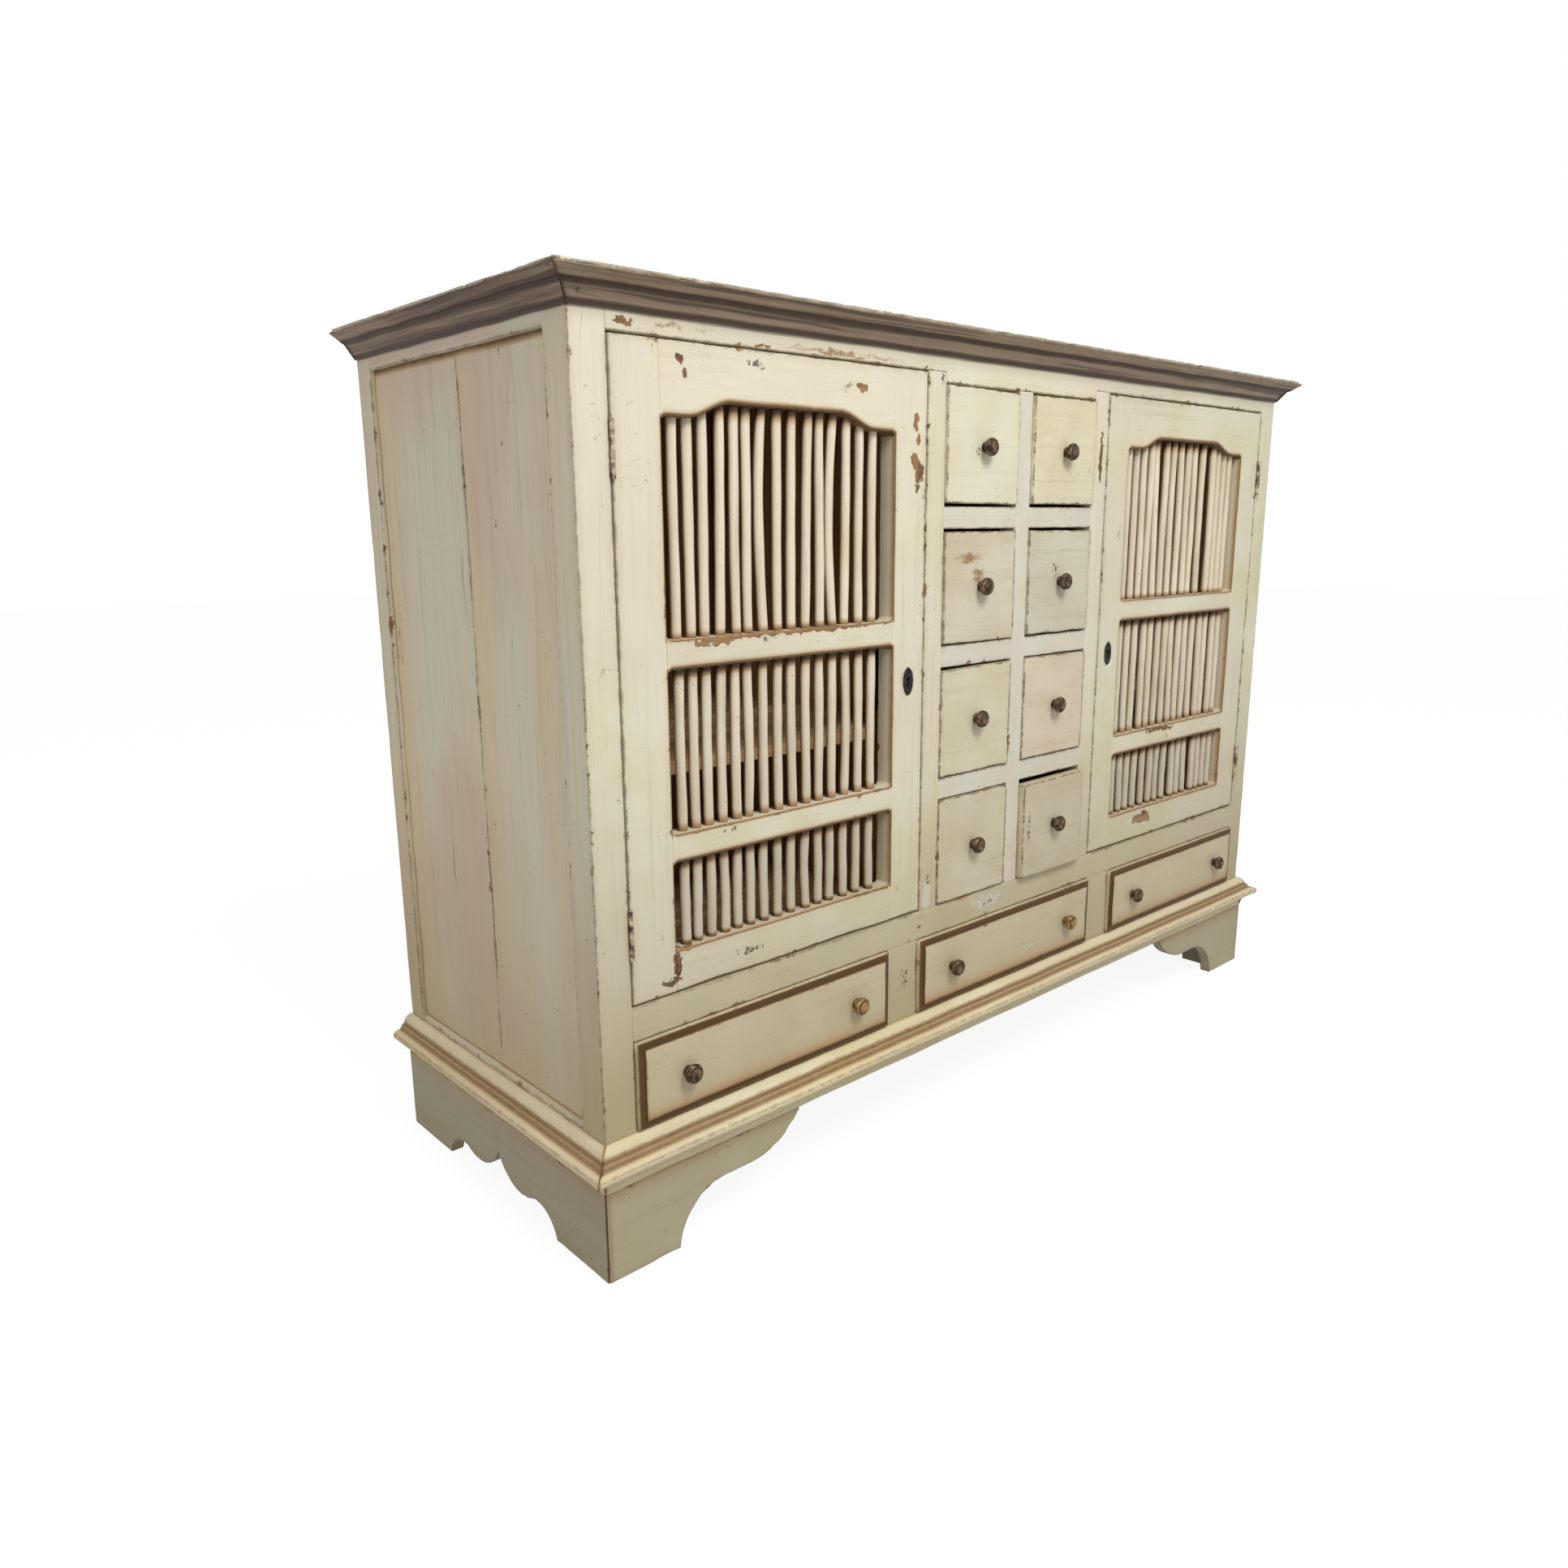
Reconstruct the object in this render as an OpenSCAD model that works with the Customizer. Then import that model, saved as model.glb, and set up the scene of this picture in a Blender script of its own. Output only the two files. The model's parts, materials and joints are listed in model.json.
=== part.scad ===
// Painted dresser base: two doors filled with round rods, eight small drawers between them and
// three long drawers below, on bracket feet. The front faces -Y and the left side is at -X.
// Inside seated() y = 0 is the front plane of the face frame and y grows towards the back.

/* [Body] */
// Overall height from the floor to the top boards
total_h = 1080; // [1050:5:1130]
// Width of the body across the corner posts
body_w = 1450; // [1400:5:1540]
// Depth of the body from the face frame to the back
body_d = 492; // [470:2:540]
// Width of a front corner post, seen from the front
post_w = 43; // [38:1:52]
// Width of a front corner post, seen from the side
post_d = 46; // [40:1:54]
// Width and depth of a back corner post
back_post = 35; // [32:1:40]
// Thickness of the face frame
frame_t = 26; // [24:1:30]

/* [Face frame] */
// How far the base rail shows over the plinth moulding
base_show = 1.5; // [0.5:0.5:6]
// Height of a long drawer's opening
long_open_h = 108; // [98:1:116]
// Height of the waist rail over the long drawers
waist_rail_h = 40; // [34:1:50]
// Height of the top rail over the doors
top_rail_h = 35; // [30:1:44]
// How much deeper the top rail is over the small drawers
head_drop = 12; // [6:1:20]
// Width of a post between a door and the small drawers
centre_post_w = 35; // [28:1:42]
// Width of the post between two long drawers
muntin_w = 60; // [50:1:70]
// Width of a small drawer's opening
spice_open_w = 153; // [140:1:164]
// Width of the upright between the two columns of small drawers
divider_w = 31; // [26:1:38]
// Height of a rail between two small drawers
spice_rail_h = 28.5; // [22:0.5:34]

/* [Sides and back] */
// Thickness of a side rail
side_rail_t = 22; // [18:1:26]
// Height of a side's top rail
side_top_h = 31; // [26:1:60]
// Height of a side's bottom rail
side_low_h = 63; // [58:1:80]
// Bevel along the upper edge of a side's bottom rail
side_bevel = 7; // [4:1:10]
// Thickness of the side boards
side_board_t = 12; // [9:1:14]
// How far the side boards lie behind the posts' outer faces
side_recess = 6; // [4:1:8]
// How far a side board reaches into its grooves
tongue = 8; // [5:1:10]
// Distance of the joint between two side boards from the front plane
side_joint_y = 240; // [200:5:290]
// Open seam between two boards that lie edge to edge
board_seam = 0.8; // [0.4:0.1:1.5]
// Thickness of the back boards
back_board_t = 12; // [9:1:14]
// How far the back boards lie inside the back of the posts
back_inset = 4; // [2:1:8]
// Thickness of a back rail
back_rail_t = 22; // [18:1:26]
// Height of the upper back rails
back_rail_h = 50; // [40:1:60]
// Number of back boards
back_boards_n = 8; // [6:1:10]

/* [Top and cornice] */
// Thickness of the top boards
top_t = 18; // [16:1:24]
// Thickness of the top boards' lip over the cornice
lip_t = 4; // [3:0.5:6]
// How far the lip reaches out over the cornice
lip_out = 29; // [24:1:31]
// How far the cornice stands out from the body
cornice_out = 32; // [30:1:40]
// Height of the cornice under the lip
cornice_h = 30.5; // [28:0.5:36]
// Height of the sloping upper band of the cornice
fascia_h = 10; // [8:0.5:13]
// Height of the upright edge at the top of the band
fascia_edge = 1.5; // [1:0.5:3]
// How far the band's lower edge lies behind its upper edge
fascia_in = 12; // [9:0.5:14]
// Depth of the step under the band
fascia_step = 2.5; // [1.5:0.5:4]
// Depth of the cornice's shallow hollow
cornice_hollow = 1.8; // [1:0.2:3]
// Number of facets in the hollow
cornice_steps = 8; // [4:1:12]
// Height and depth of the fillet at the foot of the cornice
cornice_fillet = 3; // [2:0.5:4]
// Number of top boards
top_boards_n = 3; // [2:1:5]

/* [Plinth and feet] */
// Height of the bracket feet
foot_h = 113; // [105:1:124]
// How far the feet stand out from the body
foot_out = 8; // [6:1:10]
// Thickness of the bracket boards
bracket_t = 18; // [16:1:22]
// Height of the plinth moulding
plinth_h = 55; // [52:1:60]
// How far the plinth moulding stands out from the body
plinth_out = 30; // [28:1:34]
// Radius of the plinth moulding's lower nose
nose_r = 6.5; // [5.5:0.5:7.5]
// Radius of the plinth moulding's upper quarter round
bead_r = 13; // [11:0.5:14]
// Radius of the plinth moulding's cove, between the quarter round and the nose
plinth_cove_r = 7; // [6:0.5:8]
// Length of a front bracket from its outer corner
bracket_len = 295; // [270:5:330]
// Distance from the corner to the centre of a front bracket's hollow
front_cove_u = 173; // [160:1:185]
// Height of a front bracket's hollow
front_cove_top = 67; // [60:1:70]
// Radius of a front bracket's hollow
front_cove_r = 72; // [64:1:76]
// Distance from the corner to the lowest point of a front bracket's lobe
front_lobe_u = 213; // [200:1:225]
// Radius of a front bracket's lobe
front_lobe_r = 96; // [88:1:110]
// Distance from the corner to the centre of a side skirt's hollow
side_cove_u = 154; // [145:1:165]
// Height of a side skirt's hollow
side_cove_top = 32; // [28:1:38]
// Radius of a side skirt's hollow
side_cove_r = 44; // [40:1:50]
// Distance from the middle of the side to the lowest point of a lobe
side_lobe_u = 56; // [50:1:60]
// Radius of a side skirt's lobe
side_lobe_r = 62; // [60:1:70]
// Height of a side skirt's lobe over the floor
side_lobe_z = 24; // [18:1:30]
// Length of a back bracket along the back
back_bracket_len = 115; // [100:5:140]
// Side of the square blocks in the corners of the feet
foot_block = 55; // [45:1:65]

/* [Doors] */
// Thickness of a door
door_t = 26; // [24:1:28]
// Gap at a door's top and free edge
door_gap = 2; // [1.5:0.1:3]
// Gap under a door
door_sill_gap = 3.5; // [2:0.5:5]
// Gap at a door's hinge edge, which holds both hinge leaves
hinge_gap = 2.4; // [2.2:0.1:3]
// Width of a door's hinge stile
hinge_stile_w = 61; // [54:1:68]
// Width of a door's lock stile
lock_stile_w = 58; // [54:1:66]
// Height of a door's top rail at the shoulders of its arch
door_top_h = 75; // [68:1:84]
// Rise of the arch in a door's top rail
arch_rise = 17; // [12:1:22]
// Length of the arch's flat shoulders
arch_shoulder = 34; // [28:1:44]
// Length of the arch's curved shoulders
arch_run = 60; // [48:1:66]
// Number of facets in a curved shoulder
arch_steps = 18; // [8:1:24]
// Height of a door's bottom rail
door_low_h = 48; // [42:1:56]
// Height of a door's two middle rails
door_mid_h = 32; // [28:1:38]
// Clear height of a door's lower opening
low_open_h = 103; // [90:1:115]
// Clear height of a door's middle opening
mid_open_h = 184; // [170:1:200]
// Radius of the rounded corners of a door's openings
opening_r = 6; // [4:1:8]

/* [Rods] */
// Diameter of a rod
rod_d = 12.5; // [11:0.5:14]
// Number of rods in an opening
rods_n = 15; // [14:1:16]
// Depth of a rod's socket in a door rail
rod_socket = 12; // [8:1:16]
// Clearance round a rod in its socket
rod_clear = 0.15; // [0.1:0.05:0.3]
// Distance of the rods' centre plane from the door's face
rod_y = 14; // [12:0.5:15]

/* [Locks and hinges] */
// Distance of a keyhole from the door's free edge
key_in = 28; // [24:1:32]
// Height of a keyhole over the door's lower edge
key_up = 319; // [280:5:360]
// Width of an oval keyhole plate
key_plate_w = 19; // [16:1:22]
// Height of an oval keyhole plate
key_plate_h = 36; // [30:1:42]
// Number of facets round a keyhole plate
key_plate_steps = 40; // [24:4:60]
// Thickness of a keyhole plate
key_plate_t = 1.5; // [1:0.1:2.5]
// Clearance round a keyhole plate in its recess, and of the keyhole through the wood
key_clear = 0.1; // [0.05:0.05:0.3]
// Radius of the round part of a keyhole
key_r = 3.2; // [2.8:0.1:3.6]
// Width of the slot under the round part of a keyhole
key_slot_w = 2.8; // [2.4:0.1:3.4]
// Length of the slot under the round part of a keyhole
key_slot_len = 12; // [9:1:14]
// Width of a lock case
lock_w = 48; // [44:1:50]
// Height of a lock case
lock_h = 80; // [60:1:90]
// Thickness of a lock case
lock_t = 14; // [13:0.5:18]
// How far a lock case lies inside the door's free edge
lock_in = 2; // [1.5:0.5:4]
// Thickness of a lock bolt
bolt_t = 6; // [5:0.5:7]
// Height of a lock bolt
bolt_h = 16; // [12:1:20]
// Length of a lock bolt
bolt_len = 33; // [28:1:34]
// Travel of a lock bolt
bolt_throw = 10; // [8:1:10]
// Clearance round a lock bolt in its case
bolt_clear = 0.3; // [0.2:0.05:0.4]
// Distance from the frame's back to a lock bolt
bolt_off = 1.6; // [1:0.1:2]
// Length of a hinge
hinge_len = 58; // [50:1:66]
// Distance from a door's top to its upper hinge's middle
hinge_top_in = 110; // [90:5:140]
// Distance from a door's bottom to its lower hinge's middle
hinge_low_in = 83; // [70:1:110]
// Radius of a hinge's knuckles
knuckle_r = 2.6; // [2.2:0.1:2.8]
// Distance of a hinge's axis in front of the door's face
hinge_out = 2.9; // [2.9:0.1:3.6]
// Radius of a hinge's pin
pin_r = 1.2; // [1:0.1:1.4]
// Running clearance round a hinge's pin
pin_clear = 0.05; // [0.03:0.01:0.08]
// Clearance between a hinge's leaves and between its knuckles
leaf_clear = 0.3; // [0.2:0.05:0.4]
// Width of a hinge leaf on the wood
leaf_w = 19; // [15:1:20]

/* [Small drawers] */
// Gap round a drawer front in its opening
drawer_gap = 1.5; // [1:0.1:2.5]
// Thickness of a small drawer's front
spice_front_t = 18; // [16:1:22]
// Gap between a small drawer and the back rails
spice_back_gap = 54; // [30:2:110]
// Thickness of a small drawer's sides and back
spice_side_t = 7; // [6:0.5:10]
// Height of a small drawer's sides
spice_side_h = 138; // [100:1:144]
// Thickness of a drawer bottom
bottom_t = 5; // [4:0.5:7]
// Height of a drawer bottom over its sides' lower edges
bottom_up = 6; // [4:0.5:8]
// Running gap under a drawer's sides
run_gap = 0.3; // [0.2:0.05:0.5]
// How far the left small drawers stand out, from the top row down
spice_out_left = [3, 2, 1, 1]; // [0:1:8]
// How far the right small drawers stand out, from the top row down
spice_out_right = [4, 2, 1, 10]; // [0:1:10]

/* [Long drawers] */
// How far a long drawer's front stands out from the frame
long_proud = 8; // [5:1:10]
// Thickness of a long drawer's front behind the frame's face
long_front_t = 18; // [16:1:22]
// Width of the sunk border round a long drawer's front
border_w = 9; // [7:0.5:12]
// Depth of the sunk border round a long drawer's front
border_deep = 3; // [2:0.5:4]
// Gap between a long drawer and the back rails
long_back_gap = 24; // [16:2:90]
// Thickness of a long drawer's sides and back
long_side_t = 10; // [8:0.5:14]
// Height of a long drawer's sides
long_side_h = 92; // [70:1:94]
// Distance from the end of a long drawer's front to its knob's centre
long_knob_in = 67; // [50:1:90]

/* [Knobs] */
// Radius of a knob
knob_r = 11.5; // [9:0.5:12.5]
// Length of a knob from the drawer's face to its tip
knob_len = 21; // [19:0.5:22]
// Radius of the rounding of a knob's rim
knob_round = 6.5; // [5:0.5:7]
// Radius of a knob's rose
rose_r = 8; // [6:0.5:9]
// Thickness of a knob's rose
rose_t = 2; // [1.5:0.5:3]
// Radius of a knob's neck
neck_r = 4.5; // [3.5:0.5:5]
// Radius of the small button on a knob's tip
button_r = 3; // [2.5:0.5:4]
// Height of the button over the knob's rim
button_h = 1; // [0.5:0.5:2]
// Radius of the shank in a drawer front
shank_r = 2.5; // [2:0.1:3]
// Length of the shank in a drawer front
shank_len = 12; // [8:1:13]
// Clearance round the shank
shank_clear = 0.1; // [0.05:0.05:0.2]

/* [Joinery] */
// Width of a glue line between two boards of one piece of joinery
glue = 0.05; // [0.02:0.01:0.1]
// Clearance round a side board in its grooves
groove_clear = 0.15; // [0.1:0.05:0.3]
// Open seam of a mitre
mitre_seam = 0.4; // [0.2:0.1:0.8]

/* [Inside] */
// Thickness of the upright partitions
partition_t = 14; // [12:1:18]
// Thickness of the cupboard floor
floor_t = 14; // [12:1:18]
// Thickness of the dust boards between the small drawers
dust_t = 9; // [7:0.5:12]
// Height of the guides between the drawers
guide_h = 18; // [12:1:24]
// Height of a long drawer's runner
runner_h = 20; // [16:1:26]
// How far a runner reaches under a drawer
runner_in = 15; // [12:1:20]
// Thickness of a cupboard shelf
shelf_t = 16; // [12:1:20]
// Height of the cupboard shelves' undersides over the cupboard floor
shelf_up = 243; // [200:5:320]
// Gap between the front posts and the cupboard shelves
shelf_gap = 2; // [1:0.5:6]
// Width of the cleats under the shelves
cleat_w = 15; // [12:1:20]
// Height of the cleats under the shelves
cleat_h = 20; // [16:1:26]

/* [Hidden] */
$fn = 48;

cream = [0.88, 0.84, 0.72];
taupe = [0.53, 0.48, 0.42];
umber = [0.37, 0.29, 0.18];
dark_wood = [0.3, 0.22, 0.15];
raw_wood = [0.62, 0.5, 0.36];
aged_brass = [0.45, 0.38, 0.26];
iron = [0.16, 0.15, 0.14];

// The front plane's place: the origin is the middle of the whole object's footprint
front_y = -(body_d - cornice_out) / 2;

// Places across the front
x_side = body_w / 2;
x_post = x_side - post_w;
x_spice = spice_open_w + divider_w / 2;
x_centre = x_spice + centre_post_w;
x_board = x_side - side_recess - side_board_t;
long_open_w = (2 * x_post - 2 * muntin_w) / 3;

// Heights
z_long = foot_h + plinth_h + base_show;
z_waist_low = z_long + long_open_h;
z_waist = z_waist_low + waist_rail_h;
z_top = total_h - top_t;
z_head = z_top - top_rail_h;
z_spice_head = z_head - head_drop;
spice_rows = 4;
spice_open_h = (z_spice_head - z_waist - (spice_rows - 1) * spice_rail_h) / spice_rows;
z_cornice = total_h - lip_t - cornice_h;
z_shelf = z_waist + shelf_up;

// Places from front to back
y_back_post = body_d - back_post;
y_back_board = body_d - back_inset - back_board_t;
y_back_rail = y_back_board - back_rail_t;
spice_depth = y_back_rail - spice_back_gap;
long_depth = y_back_rail - long_back_gap;

// Doors
x_door_free = x_centre + door_gap;
x_door_hinge = x_post - hinge_gap;
z_door = z_waist + door_sill_gap;
door_h = z_head - door_gap - z_door;
door_w = x_door_hinge - x_door_free;
z_low_open = z_door + door_low_h;
z_mid_open = z_low_open + low_open_h + door_mid_h;
z_top_open = z_mid_open + mid_open_h + door_mid_h;
z_arch = z_door + door_h - door_top_h;
open_w = door_w - hinge_stile_w - lock_stile_w;
x_open = x_door_hinge - hinge_stile_w;
x_key = x_door_free + key_in;
z_key = z_door + key_up;
hinge_mids = [z_door + door_h - hinge_top_in, z_door + hinge_low_in];
x_pin = x_post - hinge_gap / 2;
leaf_t = (hinge_gap - leaf_clear) / 2;
y_bolt = max(frame_t, door_t) + bolt_off;

// The rods stand unevenly. The lists go from the hinge side to the free edge, a row for each opening from
// the top, and count in steps between rods. These are the rods' distances from an even row.
left_strays = [
  [0, -0.1, -0.2, -0.15, -0.2, -0.4, -0.45, -0.35, -0.35, -0.25, -0.3, -0.45, -0.35, -0.3, -0.25],
  [0.05, -0.1, -0.25, -0.3, -0.35, -0.5, -0.45, -0.4, -0.4, -0.35, -0.35, -0.35, -0.3, -0.25, -0.2],
  [0.1, -0.1, -0.2, -0.3, -0.4, -0.5, -0.55, -0.55, -0.55, -0.45, -0.45, -0.55, -0.45, -0.4, -0.3]
];
right_strays = [
  [-0.2, -0.4, -0.6, -0.8, -0.25, -0.05, -0.15, -0.1, 0, 0, 0.2, 0.05],
  [-0.25, -0.4, -0.2, -0.4, -0.25, -0.2, -0.25, -0.2, -0.25, -0.2, -0.15, -0.2, 0.05],
  [-0.2, -0.35, -0.45, -0.65, -0.25, -0.35, -0.45, -0.15, -0.1, -0.2, -0.1, 0.05, 0.1]
];
// Sideways bow in the middle of a rod
left_bows = [
  [0, 0, 0, 0, 0, -0.05, -0.3, 0, 0, 0, 0, -0.3],
  [0, 0, 0, 0, 0, 0.1, 0, 0, -0.1, 0, 0, 0, 0.1],
  [0, 0, 0, 0.1, 0, 0, 0, 0, 0, -0.1]
];
right_bows = [
  [0, 0, 0, -0.1, 0.1, 0, 0, -0.1, 0, 0, 0.05],
  [0, 0, 0, -0.1, 0, 0, 0.1, 0, 0, 0, 0, 0, -0.1],
  [0, 0, 0, 0, 0, 0.1]
];
// Lean of a rod: how far its top stands towards the free edge
left_leans = [[0, 0, 0.05, 0.1, 0, 0, 0, 0, 0.05, 0.15, 0, 0, 0.05], [0, 0, 0, 0.05, 0, 0, 0, 0, -0.05], []];
right_leans = [[0, 0, 0.05, 0, 0, 0, 0, 0.05, 0, 0, 0.2], [0, 0, 0, 0.1, 0, 0, 0, 0.1], [0, 0, 0, 0, 0.1]];
left_rods = [left_strays, left_bows, left_leans];
right_rods = [right_strays, right_bows, right_leans];

over = 1;

module seated() {
  translate([0, front_y, 0]) children();
}

module pair() {
  children();
  mirror([1, 0, 0]) children();
}

// A box given by its lowest and highest corners
module block(low, high) {
  translate(low) cube(high - low);
}

// Board material of the left side, grown by c on every face but those in the grooves' length
module side_board_space(c) {
  block([-x_side + side_recess - c, post_d - tongue - c, foot_h + side_low_h - tongue - c],
        [-x_board + c, y_back_post + tongue + c, z_top - side_top_h + tongue + c]);
}

module front_posts() {
  color(cream) seated() pair() difference() {
    block([-x_side, 0, foot_h], [-x_post, post_d, z_top]);
    side_board_space(groove_clear);
  }
}

module back_posts() {
  color(cream) seated() pair() difference() {
    block([-x_side, y_back_post, foot_h], [-x_side + back_post, body_d, z_top]);
    side_board_space(groove_clear);
  }
}

module side_rails() {
  color(cream) seated() pair() difference() {
    union() {
      block([-x_side, post_d, z_top - side_top_h], [-x_side + side_rail_t, y_back_post, z_top]);
      translate([-x_side, y_back_post, foot_h]) rotate([90, 0, 0])
        linear_extrude(y_back_post - post_d)
          polygon([[0, 0], [side_rail_t, 0], [side_rail_t, side_low_h],
                   [side_bevel, side_low_h], [0, side_low_h - side_bevel]]);
    }
    side_board_space(groove_clear);
  }
}

module side_boards() {
  color(cream) seated() pair() difference() {
    side_board_space(0);
    block([-x_side, side_joint_y - board_seam / 2, 0], [0, side_joint_y + board_seam / 2, total_h]);
  }
}

module top_rail() {
  color(cream) seated() union() {
    block([-x_post, 0, z_head], [x_post, frame_t, z_top]);
    block([-x_spice, 0, z_spice_head], [x_spice, frame_t, z_head + over]);
  }
}

module waist_rail() {
  color(cream) seated() block([-x_post, 0, z_waist_low], [x_post, frame_t, z_waist]);
}

module base_rail() {
  color(cream) seated() block([-x_post, 0, foot_h], [x_post, frame_t, z_long]);
}

module centre_posts() {
  color(cream) seated() pair() block([-x_centre, 0, z_waist], [-x_spice, frame_t, z_head]);
}

module lower_muntins() {
  x0 = long_open_w / 2;
  color(cream) seated() pair()
    block([-x0 - muntin_w, 0, z_long], [-x0, frame_t, z_waist_low]);
}

// Lower edge of the opening in a row of small drawers, counted from the top
function spice_z(row) = z_waist + (spice_rows - row) * (spice_open_h + spice_rail_h);

module spice_frame() {
  color(cream) seated() {
    block([-divider_w / 2, 0, z_waist], [divider_w / 2, frame_t, z_spice_head]);
    for (row = [1:spice_rows - 1])
      pair() block([-x_spice, 0, spice_z(row) - spice_rail_h],
                   [-divider_w / 2 - glue, frame_t, spice_z(row)]);
  }
}

module partitions() {
  color(dark_wood) seated() pair()
    block([-x_spice - partition_t, frame_t, z_waist], [-x_spice, y_back_rail, z_top]);
}

module dust_boards() {
  color(raw_wood) seated() for (row = [1:spice_rows - 1])
    block([-x_spice, frame_t, spice_z(row) - dust_t], [x_spice, y_back_rail, spice_z(row)]);
}

module cupboard_floor() {
  color(dark_wood) seated() difference() {
    block([-x_board, frame_t, z_waist - floor_t], [x_board, y_back_rail, z_waist]);
    pair() block([-x_side, 0, 0], [-x_post, post_d, total_h]);
  }
}

module cupboard_shelves() {
  y0 = post_d + shelf_gap;
  x_in = x_spice + partition_t;
  color(dark_wood) seated() pair() {
    block([-x_board, y0, z_shelf], [-x_in, y_back_rail, z_shelf + shelf_t]);
    for (x0 = [-x_board, -x_in - cleat_w])
      block([x0, y0, z_shelf - cleat_h], [x0 + cleat_w, y_back_rail, z_shelf - glue]);
  }
}

// Guides between the small drawers, and the runners and guides of the long drawers
module drawer_runners() {
  x_mid = long_open_w / 2;
  x_out = x_mid + muntin_w;
  x_rail = x_side - side_rail_t;
  color(raw_wood) seated() {
    for (row = [1:spice_rows])
      block([-divider_w / 2, frame_t, spice_z(row)],
            [divider_w / 2, y_back_rail, spice_z(row) + guide_h]);
    pair() {
      difference() {
        block([-x_rail, frame_t, z_long - runner_h], [runner_in - x_post, y_back_rail, z_long]);
        block([-x_side, 0, 0], [-x_post, post_d, total_h]);
      }
      block([-x_rail, post_d, z_long + glue], [-x_post, y_back_rail, z_long + guide_h]);
      block([-x_out - runner_in, frame_t, z_long - runner_h],
            [runner_in - x_mid, y_back_rail, z_long]);
      block([-x_out, frame_t, z_long + glue], [-x_mid, y_back_rail, z_long + guide_h]);
    }
  }
}

module back_boards() {
  step = 2 * (x_side - back_post) / back_boards_n;
  color(dark_wood) seated() for (i = [0:back_boards_n - 1]) {
    x0 = -x_side + back_post + i * step;
    block([x0 + (i > 0 ? board_seam : 0), y_back_board, foot_h],
          [x0 + step, y_back_board + back_board_t, z_top]);
  }
}

module back_rails() {
  x0 = x_side - back_post;
  color(dark_wood) seated() {
    block([-x0, y_back_rail, foot_h], [x0, y_back_board, z_long]);
    block([-x0, y_back_rail, z_waist - back_rail_h], [x0, y_back_board, z_waist]);
    block([-x0, y_back_rail, z_top - back_rail_h], [x0, y_back_board, z_top]);
  }
}

module top_boards() {
  step = (body_d + lip_out) / top_boards_n;
  z_lip = total_h - lip_t;
  x_lip = x_side + lip_out;
  color(taupe) seated() for (i = [0:top_boards_n - 1]) {
    y0 = -lip_out + i * step + (i > 0 ? board_seam : 0);
    y1 = -lip_out + (i + 1) * step;
    union() {
      block([-x_lip, y0, z_lip], [x_lip, y1, total_h]);
      block([-x_side, max(y0, 0), z_top], [x_side, y1, z_lip + over]);
    }
  }
}

// Cornice section: x is the distance from the body, y the height over the cornice's lower edge
module cornice_section() {
  band_x = cornice_out - fascia_in;
  z_band = cornice_h - fascia_h;
  from = [band_x - fascia_step, z_band];
  run = [cornice_fillet, cornice_fillet] - from;
  inward = [run[1], -run[0]] / norm(run);
  polygon(concat(
    [[0, 0], [0, cornice_h], [cornice_out, cornice_h],
     [cornice_out, cornice_h - fascia_edge], [band_x, z_band]],
    [for (i = [0:cornice_steps])
      from + run * i / cornice_steps + inward * cornice_hollow * sin(180 * i / cornice_steps)],
    [[cornice_fillet, 0]]));
}

// Plinth section: x is the distance from the body, y the height over the feet
module plinth_section() {
  z_bead = plinth_h - bead_r;
  nose_x = plinth_out - nose_r;
  nose_z = z_bead - plinth_cove_r - nose_r;
  square([foot_out, z_bead]);
  intersection() {
    translate([0, z_bead]) circle(bead_r);
    square([plinth_out, 2 * plinth_h]);
  }
  difference() {
    translate([0, nose_z - nose_r]) square([nose_x, z_bead - nose_z + nose_r]);
    translate([nose_x, z_bead]) circle(plinth_cove_r);
  }
  translate([nose_x, nose_z]) circle(nose_r);
}

// Runs a section along the front, cut to a mitre at both ends
module front_run(out, z0) {
  x_out = x_side + out - mitre_seam / 2;
  reach = 3 * out;
  intersection() {
    translate([0, 0, z0]) rotate([0, 0, -90]) rotate([90, 0, 0])
      linear_extrude(2 * (x_side + out), center = true) children();
    translate([0, -out, 0]) linear_extrude(total_h)
      polygon([[-x_out, 0], [x_out, 0], [x_out - reach, reach], [reach - x_out, reach]]);
  }
}

// Runs a section along the left side, cut to a mitre at the front
module side_run(out, z0) {
  x_out = x_side + out;
  reach = 3 * out;
  intersection() {
    translate([-x_side, -out, z0]) rotate([0, 0, 180]) rotate([90, 0, 0])
      linear_extrude(body_d + out) children();
    translate([-x_out, -out + mitre_seam / 2, 0]) linear_extrude(total_h)
      polygon([[0, 0], [reach, reach], [reach, body_d + reach], [0, body_d + reach]]);
  }
}

module cornice() {
  color(taupe) seated() {
    front_run(cornice_out, z_cornice) cornice_section();
    pair() side_run(cornice_out, z_cornice) cornice_section();
  }
}

module plinth_moulding() {
  color(cream) seated() {
    front_run(plinth_out, foot_h) plinth_section();
    pair() side_run(plinth_out, foot_h) plinth_section();
  }
}

// Outline of a bracket from its outer corner to end: a foot, a hollow and a lobe
module bracket_outline(end, cove_u, cove_top, cove_r, lobe_u, lobe_low, lobe_r) {
  difference() {
    square([cove_u, foot_h]);
    translate([cove_u, cove_top - cove_r]) circle(cove_r);
  }
  translate([cove_u, cove_top]) square([lobe_u - cove_u, foot_h - cove_top]);
  intersection() {
    union() {
      translate([lobe_u, lobe_low + lobe_r]) circle(lobe_r);
      translate([cove_u, lobe_low + lobe_r]) square([end - cove_u, foot_h]);
    }
    translate([cove_u, 0]) square([end - cove_u, foot_h]);
  }
}

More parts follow.
